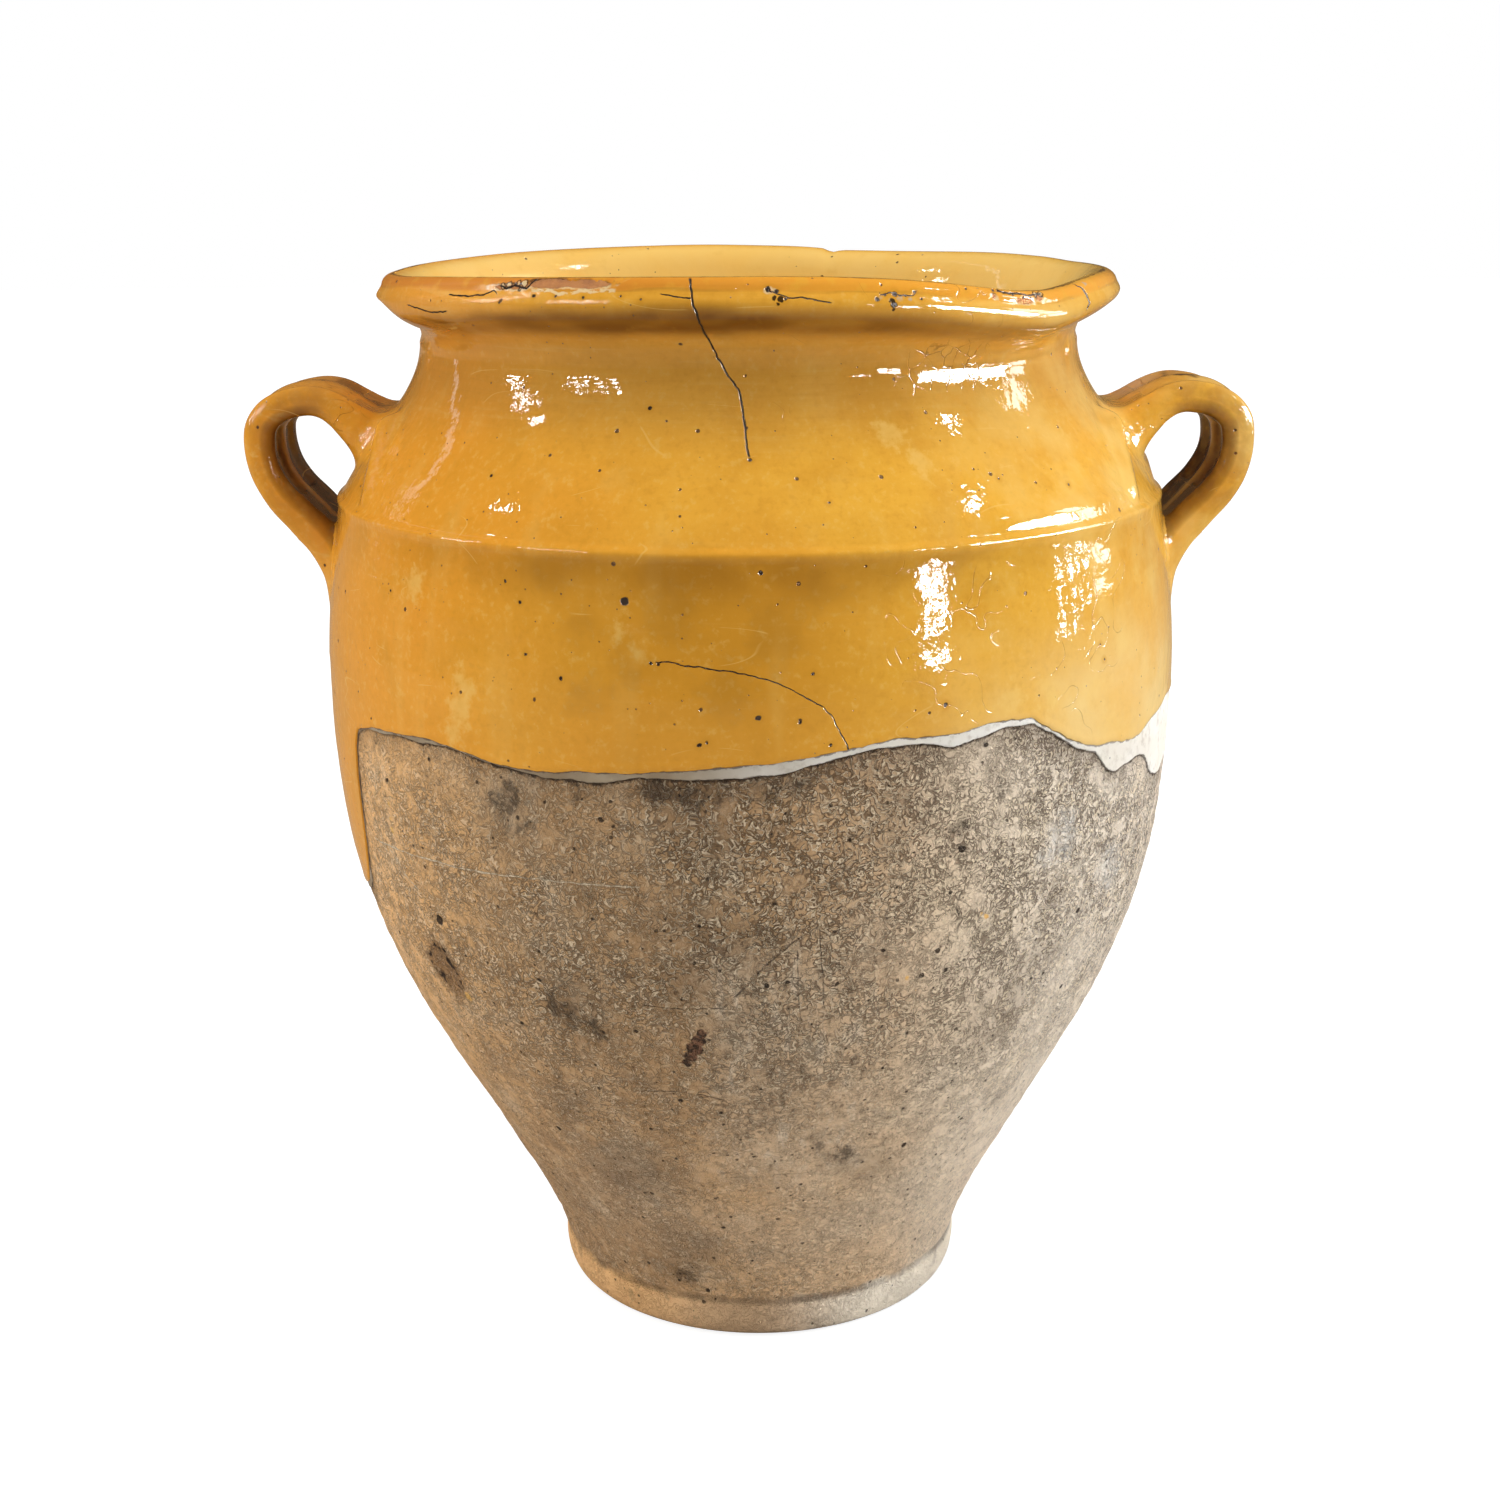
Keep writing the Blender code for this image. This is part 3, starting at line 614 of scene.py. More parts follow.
def make_clay():
    """The thrown vessel: foot, wall, shoulder, neck and lip, closed over the inside."""
    angles = column_angles(CLAY_COLUMNS)
    foot = rounded_line(FOOT, 0.2)
    foot[:, 1] = np.maximum(foot[:, 1], 0)
    foot_run = run_lengths(foot)
    picks = np.interp(np.linspace(0, foot_run[-1], 21), foot_run, np.arange(len(foot)))
    heights = np.concatenate((np.arange(17.4, 228, 1.62), np.arange(230, 272, 6)))
    wall = np.column_stack((curve_through(WALL, heights), heights))
    lower = np.vstack(([(14, 0), (36, 0), (54, 0)], foot[np.rint(picks).astype(int)], wall))
    radius = lower[:, :1]
    height = lower[:, 1:]
    relief = clay_relief(place(angles, radius, height), angles, height)
    uneven = unevenness(angles, height) * smooth_step(14, 60, height)
    outside = place(angles, radius + uneven + relief, height)
    upper = np.concatenate((np.linspace(OUTLINE.run_at(277), RUN_CREST + 10, 22),
                            np.linspace(LINING_RUN, OUTLINE.length[-1] - 1, 32)))
    covered = pot_surface(angles, upper[:, None], -1.1)[0]
    middles = [(LEAN, 0, 0), (LEAN, 0, covered[-1, :, 2].mean())]
    points = np.vstack((outside.reshape(-1, 3), covered.reshape(-1, 3), middles))
    rows = len(lower) + len(upper)
    last = len(points) - 1
    faces = [
        ring_faces(rows, CLAY_COLUMNS), fan_faces(0, CLAY_COLUMNS, last - 1, True),
        fan_faces((rows - 1) * CLAY_COLUMNS, CLAY_COLUMNS, last, False),
    ]
    below = slip_edge(angle_of(points)) - points[:, 2]
    below[len(lower) * CLAY_COLUMNS:] = -60
    return build_mesh("bare_clay", points, faces, {"below_slip": below})


def make_lining():
    """The inside glaze: a closed skin from the mouth down to the floor."""
    angles = column_angles(LINING_COLUMNS)
    start = LINING_RUN
    end = OUTLINE.length[-1] - 0.5
    run = np.concatenate((start + np.array([0, 1, 2.4, 4]), np.linspace(start + 6, end, 78)))[:, None]
    offset = 0.16 * lumps(pot_surface(angles, run, 0)[0], 30, 51) * smooth_step(start + 4, start + 30, run)
    offset = offset - 0.3 * smooth_step(start + 3, start, run)
    outer = pot_surface(angles, run, offset)[0]
    back_run = np.linspace(end, start, 26)[:, None]
    back = pot_surface(angles, back_run, -0.9)[0]
    points = np.vstack((outer.reshape(-1, 3), back.reshape(-1, 3)))
    marks = glaze_marks(points, np.repeat(np.vstack((run, back_run)), LINING_COLUMNS))
    return coat_mesh("inside_glaze", LINING_COLUMNS, outer, back, marks)


def strap_section():
    """One turn round a strap's section: shares across and through it, and the direction there."""
    half = [(1, s, 0) for s in (-0.6, 0, 0.6)]
    half += [(1, 1, a) for a in np.linspace(0, 90, 9)]
    half += [(s, 1, 90) for s in np.linspace(1, -1, 26)[1:-1]]
    half += [(-1, 1, a) for a in np.linspace(90, 180, 9)]
    half = np.array(half, float)
    return np.vstack((half, half * (-1, -1, 1) + (0, 0, 180)))


def make_strap(name, side):
    """A pulled strap handle, filleted into the shoulder and the wall at its roots."""
    length = len(STRAP_LINE) - 1
    picks = np.linspace(0, length, HANDLE_STATIONS)
    line = np.column_stack([np.interp(picks, np.arange(length + 1), column) for column in STRAP_LINE.T])
    outermost = smooth_step(136, 156, line[:, 0])
    line[:, 0] -= 0.7 * outermost
    line[:, 3] -= 0.9 * outermost
    along = np.gradient(line[:, :2], axis=0)
    along /= np.linalg.norm(along, axis=1)[:, None]
    face_x = -along[:, 1:]
    face_z = along[:, :1]
    share_across, share_through, degrees = strap_section().T
    cosine = np.cos(np.radians(degrees))
    sine = np.sin(np.radians(degrees))
    half_width = line[:, 2:3] / 2
    half_depth = line[:, 3:4] / 2
    corner = corner_of(half_depth)
    across = share_across * (half_width - corner) + corner * cosine
    through = share_through * (half_depth - corner) + corner * sine
    skin = stacked(line[:, :1] + through * face_x, across, line[:, 1:2] + through * face_z).reshape(-1, 3)
    skin[:, 0] -= wrap_of(skin)
    out = stacked(sine * face_x, cosine, sine * face_z).reshape(-1, 3)
    columns = len(sine)
    share = np.repeat(picks / length, columns)
    side_share = (across / half_width).ravel()
    on_outside = np.tile(np.maximum(sine, 0), len(line))
    on_inside = np.tile(np.maximum(-sine, 0), len(line))
    pulls = on_outside * (0.75 * np.cos(side_share * math.pi * 2) - 0.35)
    pulls += on_inside * (0.85 * np.cos((side_share + 0.12) * math.pi * 2.4) - 0.55)
    if side > 0:
        pulls += on_inside * 1.2 * hump(0.36, 0.2, share)
    pulls += 0.24 * lumps(skin * (1, 1, side), 17, 61) + 0.1 * lumps(skin * (1, 1, side), 6.5, 62)
    skin += out * (pulls * smooth_step(1, 9, pot_distance(skin)))[:, None]
    touching = pot_distance(skin) < 12
    skin[touching] = joined(skin[touching], out[touching], True)
    stop = STRAP_REACH[side] - STRAP_STOP
    past = np.maximum(skin[:, 0] - stop, 0)
    skin[:, 0] = side * (np.minimum(skin[:, 0], stop) + STRAP_STOP * (1 - np.exp(-past / STRAP_STOP)))
    count = len(skin)
    points = np.vstack((skin, skin[:columns].mean(axis=0), skin[-columns:].mean(axis=0)))
    flip = side < 0
    body = ring_faces(len(line), columns)
    faces = [
        body[:, ::-1] if flip else body, fan_faces(0, columns, count, not flip),
        fan_faces(count - columns, columns, count + 1, flip),
    ]
    marks = glaze_marks(points, OUTLINE.run_at(np.clip(points[:, 2], 230, 312)))
    # The inner faces of the loops: marked for pooled glaze and painted shade.
    hollow_pool_and_shade = on_inside ** 0.6 * smooth_step(0.2, 0.36, share) * smooth_step(0.98, 0.8, share)
    marks["hollow_pool_and_shade"] = np.append(hollow_pool_and_shade * (1 - 0.7 * hump(-0.12, 0.26, side_share)), (0, 0))
    return build_mesh(name, points, faces, marks)


class Look:
    """One material or world, with short calls that add its nodes."""

    def __init__(self, name, world=False):
        self.material = (bpy.data.worlds if world else bpy.data.materials).new(name)
        self.material.use_nodes = True
        self.tree = self.material.node_tree
        self.tree.nodes.clear()
        self.position = self.add("ShaderNodeTexCoord").outputs["Generated" if world else "Object"]
        self.colour = None

    def add(self, kind, values=None, **settings):
        node = self.tree.nodes.new(kind)
        for key, value in settings.items():
            setattr(node, key, value)
        for key, value in (values or {}).items():
            self.feed(node.inputs[key], value)
        return node

    def feed(self, socket, value):
        if isinstance(value, bpy.types.NodeSocket):
            self.tree.links.new(value, socket)
        elif socket.type == "RGBA":
            socket.default_value = (*value, 1)
        else:
            socket.default_value = value

    def axes(self, at=None):
        return self.add("ShaderNodeSeparateXYZ", {0: at or self.position}).outputs

    def mark(self, name):
        return self.add("ShaderNodeAttribute", attribute_name=name).outputs["Fac"]

    def maths(self, operation, a, b=0, c=0, clamp=False):
        node = self.add("ShaderNodeMath", {0: a, 1: b, 2: c}, operation=operation, use_clamp=clamp)
        return node.outputs[0]

    def chain(self, operation, values):
        """Values taken together by one operation, from the first to the last."""
        result = values[0]
        for value in values[1:]:
            result = self.maths(operation, result, value)
        return result

    def times(self, *values):
        return self.chain("MULTIPLY", values)

    def plus(self, *values):
        return self.chain("ADD", values)

    def less(self, *values):
        return self.chain("SUBTRACT", values)

    def most(self, *values):
        return self.chain("MAXIMUM", values)

    def with_share(self, value, other, share):
        """A value plus a share of another."""
        return self.maths("MULTIPLY_ADD", other, share, value)

    def gap(self, value, level=0):
        """How far a value is from a level, either way."""
        return self.maths("ABSOLUTE", self.less(value, level))

    def rise(self, value, low, high, start=0, end=1, kind="SMOOTHSTEP"):
        values = {"Value": value, "From Min": low, "From Max": high, "To Min": start, "To Max": end}
        return self.add("ShaderNodeMapRange", values, interpolation_type=kind).outputs[0]

    def sway(self, value, amount):
        """A noise spread out from -amount to amount."""
        return self.rise(value, 0.3, 0.7, -amount, amount)

    def vector(self, operation, a, b=(0, 0, 0)):
        return self.add("ShaderNodeVectorMath", {0: a, 1: b}, operation=operation).outputs

    def noise(self, size, seed, detail=2, roughness=0.5, distortion=0, at=None, colour=False):
        values = {
            "Vector": at or self.position, "W": seed, "Scale": 1000 / size, "Detail": detail,
            "Roughness": roughness, "Distortion": distortion,
        }
        return self.add("ShaderNodeTexNoise", values, noise_dimensions="4D").outputs[1 if colour else 0]

    def mix(self, share, a, b):
        return self.add("ShaderNodeMix", {0: share, 6: a, 7: b}, data_type="RGBA").outputs[2]

    def paint(self, tone, *shares):
        """Lays a tone over the colour so far, by the product of some shares."""
        self.colour = self.mix(self.times(*shares), self.colour, tone)

    def stretched(self, x, y, z):
        return self.vector("MULTIPLY", self.position, (x, y, z))["Vector"]

    def wobbled(self, size, amount, seed):
        """The place of each point, moved about by noise of a size, up to an amount."""
        shift = self.vector("SUBTRACT", self.noise(size, seed, colour=True), (0.5, 0.5, 0.5))["Vector"]
        moved = self.vector("MULTIPLY", shift, (amount * MM * 2,) * 3)["Vector"]
        return self.vector("ADD", self.position, moved)["Vector"]

    def dots(self, size, radius, share, at=None):
        """Scattered round specks of uneven size: 1 inside a speck."""
        node = self.add("ShaderNodeTexVoronoi", {"Vector": at or self.position, "Scale": 1000 / size})
        apart = self.add("ShaderNodeSeparateColor", {0: node.outputs["Color"]})
        chosen = self.maths("GREATER_THAN", apart.outputs[0], 1 - share)
        reach = self.with_share(radius * 0.35 / size, apart.outputs[1], radius * 0.65 / size)
        inside = self.less(reach, node.outputs["Distance"])
        return self.times(self.rise(inside, 0, radius * 0.35 / size), chosen)

    def spots(self, table, where, *wobble):
        """Distance from the nearest of some round marks, in millimetres, negative inside."""
        at = self.wobbled(*wobble)
        best = None
        for *place_of, radius in table:
            centre = tuple(float(v) * MM for v in where(*place_of))
            gap = self.with_share(-radius, self.vector("DISTANCE", at, centre)["Value"], 1000)
            best = gap if best is None else self.maths("MINIMUM", best, gap)
        return best

    def line_share(self, points, lead, width, at):
        """Share of a fine line through some points of the front, which runs along one axis."""
        parts = self.axes(at)
        other = UP - lead
        points = points[np.argsort(points[:, lead])]
        start = points[0, lead]
        end = points[-1, lead]
        least = points[:, other].min() - 1
        span = points[:, other].max() + 1 - least
        drawn = [((point[lead] - start) / (end - start), (point[other] - least) / span) for point in points]
        along = self.rise(parts[lead], start * MM, end * MM, kind="LINEAR")
        curve = self.add("ShaderNodeFloatCurve", {1: along})
        line = curve.mapping.curves[0]
        line.points[0].location = drawn[0]
        line.points[1].location = drawn[-1]
        for point in drawn[1:-1]:
            line.points.new(*point)
        for point in line.points:
            point.handle_type = "VECTOR"
        curve.mapping.update()
        middle = self.with_share(least, curve.outputs[0], span)
        gap = self.gap(self.times(parts[other], 1000), middle)
        return self.times(
            self.rise(gap, width * 0.5, width * 1.2, 1, 0),
            self.rise(parts[lead], (start - 0.3) * MM, (start + 0.5) * MM),
            self.rise(parts[lead], (end + 0.3) * MM, (end - 0.5) * MM), self.rise(parts[1], -0.02, -0.05))

    def lines(self, table, where, *wobble):
        """Share of the nearest of some fine lines, given as (axis, width, places)."""
        at = self.wobbled(*wobble)
        return self.most(*[
            self.line_share(np.array([where(*place_of) for place_of in places]), lead, width, at)
            for lead, width, places in table])

    def line_at(self, value, level, reach):
        """1 where a value is at a level, falling to 0 at reach from it."""
        return self.rise(self.gap(value, level), reach, reach * 0.25)

    def bump(self, height, distance, normal=None):
        values = {"Height": height, "Distance": distance * MM}
        if normal is not None:
            values["Normal"] = normal
        return self.add("ShaderNodeBump", values).outputs[0]

    def finish(self, roughness, normal, **constants):
        values = {"Base Color": self.colour, "Roughness": roughness, "Normal": normal, **constants}
        shader = self.add("ShaderNodeBsdfPrincipled", values)
        self.add("ShaderNodeOutputMaterial", {"Surface": shader.outputs[0]})
        return self.material


def on_pot(degrees, height):
    """A point of the outside in millimetres, by its angle and height."""
    return pot_surface(degrees, OUTLINE.run_at(height), 0)[0]


def on_wall(degrees, height):
    """A point of the bare wall in millimetres, by its angle and height."""
    return place(degrees, curve_through(WALL, height), height)


def at_point(x, y, z):
    return x, y, z


# The axes that fine lines run along.
ACROSS = 0
UP = 2

# Marks in the glaze, as (degrees, height, radius).
PITS = (
    (-14.75, 263.7, 1.25), (1.2, 271.9, 0.75), (-11.5, 247, 0.55), (-10.6, 246.9, 0.5), (-5.9, 224.6, 0.6),
    (-5.1, 225.4, 0.5), (-28.3, 261.4, 0.55), (0.8, 232.4, 0.85), (23, 233, 0.6), (-14.8, 313.6, 0.6),
    (-37.3, 293.9, 0.5), (10, 289.4, 0.45), (35.2, 292.4, 0.4), (47.6, 288.1, 0.45), (-22.5, 241.3, 0.6),
    (-27.3, 247.1, 0.45), (7.1, 244.3, 0.55), (5.5, 230.9, 0.6), (9, 224.1, 0.55), (-51.3, 258.1, 0.45),
    (-30.6, 266.8, 0.5), (48.7, 237.2, 0.4), (48, 242, 0.4), (0.1, 300.4, 0.55), (96, 263, 0.7),
    (128, 250, 0.6), (-120, 240, 0.8), (160, 262, 0.7), (-150, 300, 0.5), (-96, 228, 0.6), (70, 262, 0.5),
    (2.6, 346.7, 0.85), (3.7, 346.1, 0.6), (4.9, 344.2, 0.5), (17.2, 344.4, 0.7), (18.5, 345.6, 0.5),
    (19.9, 346, 0.8), (21.4, 345.6, 0.5), (23.7, 345.1, 0.45), (19.6, 343.2, 0.75), (22.8, 346.9, 0.45),
    (36.6, 349.1, 0.6), (38.4, 348.9, 0.5), (40.2, 348.6, 0.55), (42.5, 348, 0.5), (45.6, 348.6, 0.75),
    (31.5, 348.9, 0.4), (-30.2, 345.1, 0.55), (-26.6, 344.9, 0.45), (-22.4, 344.6, 0.5), (-17, 345, 0.4),
    (-14.2, 344.2, 0.35), (-36, 343.2, 0.4),
)
CREAM_FLAKES = (
    (-36, 347.7, 0.6), (-34.9, 347.9, 0.7), (-33.5, 348.4, 0.7), (-32.4, 348.5, 0.8), (-33, 347.4, 0.5),
    (45.4, 349, 0.7), (46.7, 349, 0.6),
)
GREY_SMEAR = (
    (17.8, 344.8, 0.6), (19, 344.7, 0.8), (20.5, 345, 0.9), (22.2, 344.8, 0.8), (19.2, 343.6, 0.7),
    (60, 349, 1.2),
)
BLACK_MARKS = (
    (19.3, 344, 0.8), (19.35, 342.9, 0.7), (19.5, 341.9, 0.5), (3.4, 344.4, 0.8), (4.3, 344.1, 0.7),
    (3.9, 342.9, 0.5), (39.6, 349, 0.5), (44, 347.8, 0.45),
)
GLAZE_PATCHES = (
    (-37.5, 228, 4.5), (-36.5, 236, 4), (-38.5, 221.5, 4), (38, 231, 4.5), (32.5, 233, 4), (-15.5, 257, 3),
    (-12.5, 250, 3), (-46, 262, 5), (24, 298, 5), (20, 306, 4), (110, 250, 8), (150, 230, 9), (-125, 245, 8),
)
GLAZE_SMEARS = (
    (-14, 246, 4), (-19, 239, 4.5), (-25, 268, 4), (-9, 262, 7), (-20, 257, 5), (3, 256, 8), (-3, 240, 7),
    (8, 266, 6), (120, 265, 9), (-160, 250, 10),
)
NET_PLACES = ((30, 326, 8), (36, 327, 8), (26, 322, 4))

# Dark stains on the straps, as (x, y, z, radius).
STRAP_CROWNS = ((144, 2, 313, 4.5), (149, 5, 312, 4), (138, 9, 313, 3.5))
STRAP_CREASES = ((-141, 6, 312, 5), (-132, 12, 309, 5), (-121, 2, 305, 4))

# Fine lines in the glaze, as (axis, width, places), with each place as (degrees, height).
GLAZE_CRACKS = (
    (UP, 0.36, (
        (-7.9, 349.8), (-7.2, 342.6), (-6.8, 341), (-6.3, 336.6), (-5.8, 332.5), (-4.6, 327.3), (-3.5, 323.6),
        (-2.6, 321.2), (-1.4, 318), (-0.9, 313.5), (-0.65, 310.6), (-0.4, 305), (-0.05, 301.2))),
    (ACROSS, 0.22, (
        (-11, 247.2), (-9.2, 247.6), (-7.6, 246.6), (-6, 246.4), (-4, 245.6), (-2, 245.1), (0, 244),
        (2, 242.9), (4.25, 240.6), (6.5, 237.2), (8.2, 234.9))),
    (UP, 0.24, ((8.2, 234.9), (9.4, 231.4), (10.2, 227.1), (10.9, 224), (11.1, 221.9))),
    (ACROSS, 0.2, ((-11.6, 345.6), (-10.2, 345.1), (-8.8, 344.7), (-7.4, 344.4))),
    (ACROSS, 0.22, ((2.6, 346.5), (4, 345.3), (5.4, 344.4), (7.2, 344.6), (9, 343.7), (10.9, 343.2))),
    (ACROSS, 0.3, (
        (-36.6, 347.7), (-35.2, 347), (-33.9, 347.8), (-32.5, 347.2), (-31.7, 347), (-31.1, 348.4),
        (-30.5, 349.6))),
    (ACROSS, 0.24, ((-46.9, 345.1), (-42.4, 344.8), (-39.3, 345), (-37.6, 346.4), (-36.7, 345.3))),
    (ACROSS, 0.22, ((-58.5, 342.2), (-55, 341.2), (-51, 340.4), (-47, 340.7))),
    (UP, 0.4, ((57.2, 349.7), (58.4, 348.2), (59.2, 346), (59, 343.6), (57.8, 341.4))),
    (ACROSS, 0.2, (
        (17.7, 345.6), (19.3, 346.2), (20.6, 345.6), (21.6, 345.9), (22.5, 345.8), (23.3, 347.2))),
    (ACROSS, 0.28, ((37.2, 349.3), (38.4, 349), (39.5, 348.8), (40.5, 349.1), (43.5, 348.6), (46.9, 349))),
)
CREAM_LINES = (
    (ACROSS, 0.5, (
        (-31, 346.7), (-29.2, 346.4), (-27.4, 346.1), (-26.3, 345.5), (-23.7, 346), (-20.7, 346.4),
        (-17.9, 346.4))),
)

GLAZE_YELLOW = (0.82, 0.43, 0.050)
GLAZE_ORANGE = (0.80, 0.325, 0.030)
GLAZE_OCHRE = (0.60, 0.265, 0.022)
GLAZE_BROWN = (0.165, 0.055, 0.006)
GLAZE_PALE = (0.88, 0.60, 0.18)
GLAZE_CREST = (0.64, 0.215, 0.026)
LINING_PALE = (0.86, 0.56, 0.16)
CHIP_CLAY = (0.50, 0.205, 0.060)
STRAP_BROWN = (0.42, 0.19, 0.05)
DIRT = (0.022, 0.012, 0.006)


def glaze_look(name):
    """Glossy lead glaze over slip: mottled ochre and yellow with pits, cracks, pools and worn places, with
    painted shade under the lip, on the neck, below the ridge and inside the strap loops, and a painted haze
    of light on the right.
    """
    look = Look(name)
    x, y, z = look.axes()
    rise, sway, gap, times, plus, most = look.rise, look.sway, look.gap, look.times, look.plus, look.most
    noise, stretched, wobbled, spots = look.noise, look.stretched, look.wobbled, look.spots
    mark, mix, paint, with_share, bump = look.mark, look.mix, look.paint, look.with_share, look.bump

    # The ground tones and their mottling, with painted shade on the belly's front, the neck and below the
    # ridge, and painted light on the right.
    cloud = noise(26, 2, 3, 0.55, 0.6)
    fine = noise(6, 3, 3, 0.6)
    mottle = noise(2.2, 30, 3, 0.6)
    brushed = noise(2.4, 6, 3, 0.6, at=stretched(0.07, 0.07, 1))
    side = look.maths("ADD", rise(x, -0.125, 0.085, kind="LINEAR"), sway(noise(85, 1), 0.22), clamp=True)
    look.colour = mix(side, GLAZE_ORANGE, GLAZE_YELLOW)
    # Painted shade: the front middle of the belly, just below the ridge, is darkened to ochre.
    paint(GLAZE_OCHRE, rise(gap(x, -0.012), 0.075, 0), rise(y, 0, -0.05), rise(z, 0.2785, 0.2755),
          rise(z, 0.212, 0.262, 0.35, 0.85))
    paint(GLAZE_OCHRE, rise(cloud, 0.35, 0.8, 0, 0.5))
    paint(GLAZE_OCHRE, rise(mottle, 0.5, 0.72, 0, 0.3))
    paint(GLAZE_PALE, rise(mottle, 0.48, 0.28, 0, 0.22))
    paint(GLAZE_PALE, rise(noise(9, 4, at=stretched(1, 1, 0.12)), 0.5, 0.75, 0, 0.14))
    necked = rise(z, 0.296, 0.315, 0.3)
    paint(GLAZE_OCHRE, rise(brushed, 0.5, 0.75, 0, 0.3), necked)
    paint(GLAZE_PALE, rise(brushed, 0.46, 0.25, 0, 0.2), necked)
    # Painted shade on the neck under the lip: a soft brown band.
    paint((0.30, 0.17, 0.07), rise(z, 0.298, 0.318), rise(z, 0.346, 0.334), 0.24)
    # Painted shade under the ridge: a ragged brown band just below its edge, strongest in the middle.
    paint((0.25, 0.095, 0.010), rise(plus(z, sway(fine, 0.0004)), 0.2768, 0.2737), rise(z, 0.2585, 0.2725),
          rise(cloud, 0.25, 0.6, 0.2, 0.5), rise(gap(x), 0.12, 0.04, 0.3))
    # Painted reflection: a pale haze of reflected light over the right side.
    paint(GLAZE_PALE, rise(x, 0.03, 0.12), rise(noise(22, 5, 3), 0.4, 0.7), 0.7)
    # Painted light: the lower right of the belly made paler.
    paint((0.92, 0.70, 0.32), rise(x, 0.03, 0.115), rise(z, 0.262, 0.222), rise(cloud, 0.3, 0.6, 0.35, 0.65))
    ragged = sway(mottle, 1.5)
    paint(GLAZE_PALE, rise(plus(spots(GLAZE_PATCHES, on_pot, 8, 7, 17), ragged), 2, -3, 0, 0.38))
    paint((0.30, 0.135, 0.018), rise(plus(spots(GLAZE_SMEARS, on_pot, 9, 9, 27), ragged), 5, -4, 0, 0.26))
    # Painted shade under the lip's roll, over the glaze pooled there: dark brown, strongest at the front.
    paint(GLAZE_BROWN, mark("pooled_glaze_and_shade"), rise(noise(7, 31, at=stretched(0.3, 0.3, 1)), 0.3, 0.7, 0.7))

    # The straps: browner and paler at the roots, stained on the crowns, and dark inside the loops from pooled
    # glaze and painted shade.
    upper_root_back = times(rise(gap(x), 0.112, 0.128), rise(y, -0.012, 0.012), rise(z, 0.275, 0.292))
    paint(STRAP_BROWN, upper_root_back, rise(cloud, 0.3, 0.6, 0.2, 0.8))
    paint((0.56, 0.36, 0.21), upper_root_back, rise(x, 0, 0.01), rise(x, 0.140, 0.126),
          rise(fine, 0.35, 0.6, 0.35, 0.9))
    strapped = times(rise(gap(x), 0.131, 0.139), rise(z, 0.266, 0.280))
    pulled = noise(9, 32, 3, 0.6, 0.5, stretched(1, 0.6, 1))
    paint(STRAP_BROWN, strapped, rise(pulled, 0.42, 0.62, 0, 0.35))
    paint(GLAZE_PALE, strapped, rise(pulled, 0.42, 0.28, 0, 0.45))
    paint((0.045, 0.032, 0.024), rise(spots(STRAP_CROWNS, at_point, 6, 7, 18), 2, -1, 0, 0.85))
    paint((0.15, 0.062, 0.018), rise(spots(STRAP_CREASES, at_point, 6, 5, 19), 2.5, -1, 0, 0.6))
    # Painted shade over pooled glaze inside the loops: dark brown.
    paint((0.070, 0.021, 0.004), mark("hollow_pool_and_shade"), rise(fine, 0.2, 0.8, 1, 0.8))

    # The lip's orange band and worn crest, and the paler lining.
    band = mark("band")
    inner = mark("inner")
    run = mark("run")
    crest_tone = mix(rise(x, -0.07, 0.05), GLAZE_CREST, (0.80, 0.34, 0.035))
    paint(mix(rise(fine, 0.5, 0.7, 0, 0.5), crest_tone, GLAZE_YELLOW), band, 0.85)
    paint(mix(rise(cloud, 0.3, 0.75, 0, 0.35), LINING_PALE, GLAZE_YELLOW), inner)
    paint(GLAZE_OCHRE, rise(fine, 0.55, 0.8, 0, 0.2))
    paint((0.11, 0.045, 0.014), rise(plus(gap(run, RUN_CREST + 0.2), sway(fine, 0.5)), 0.8, 0.3),
          rise(cloud, 0.3, 0.6, 0.3, 0.85))
    paint((0.12, 0.048, 0.014), rise(gap(band, 0.45), 0.42, 0.12), rise(cloud, 0.38, 0.55), 0.15)

    # Craze lines, the net on the neck and scratches.
    outer = look.less(1, inner)
    craze = rise(gap(noise(15, 20, 1, 0.5, 0.8), 0.5), 0.0055, 0.0015)
    craze = times(craze, rise(noise(46, 21, 1), 0.57, 0.62), rise(fine, 0.42, 0.55, 0.05, 0.5))
    net = look.add("ShaderNodeTexVoronoi", {"Vector": wobbled(5, 1.6, 33), "Scale": 1000 / 5.2},
                   feature="DISTANCE_TO_EDGE").outputs["Distance"]
    net = times(rise(net, 0.035, 0.010), rise(spots(NET_PLACES, on_pot, 10, 6, 34), 2.5, -3),
                rise(fine, 0.42, 0.55, 0.1, 0.8))
    craze = times(most(craze, net), outer)
    paint((0.2, 0.08, 0.015), craze, 0.6)
    scratch = gap(noise(22, 22, 1, 0.4, at=stretched(0.35, 0.35, 1.3)), 0.47)
    paint(GLAZE_PALE, rise(scratch, 0.0042, 0.001), rise(noise(18, 23), 0.53, 0.6), 0.3)

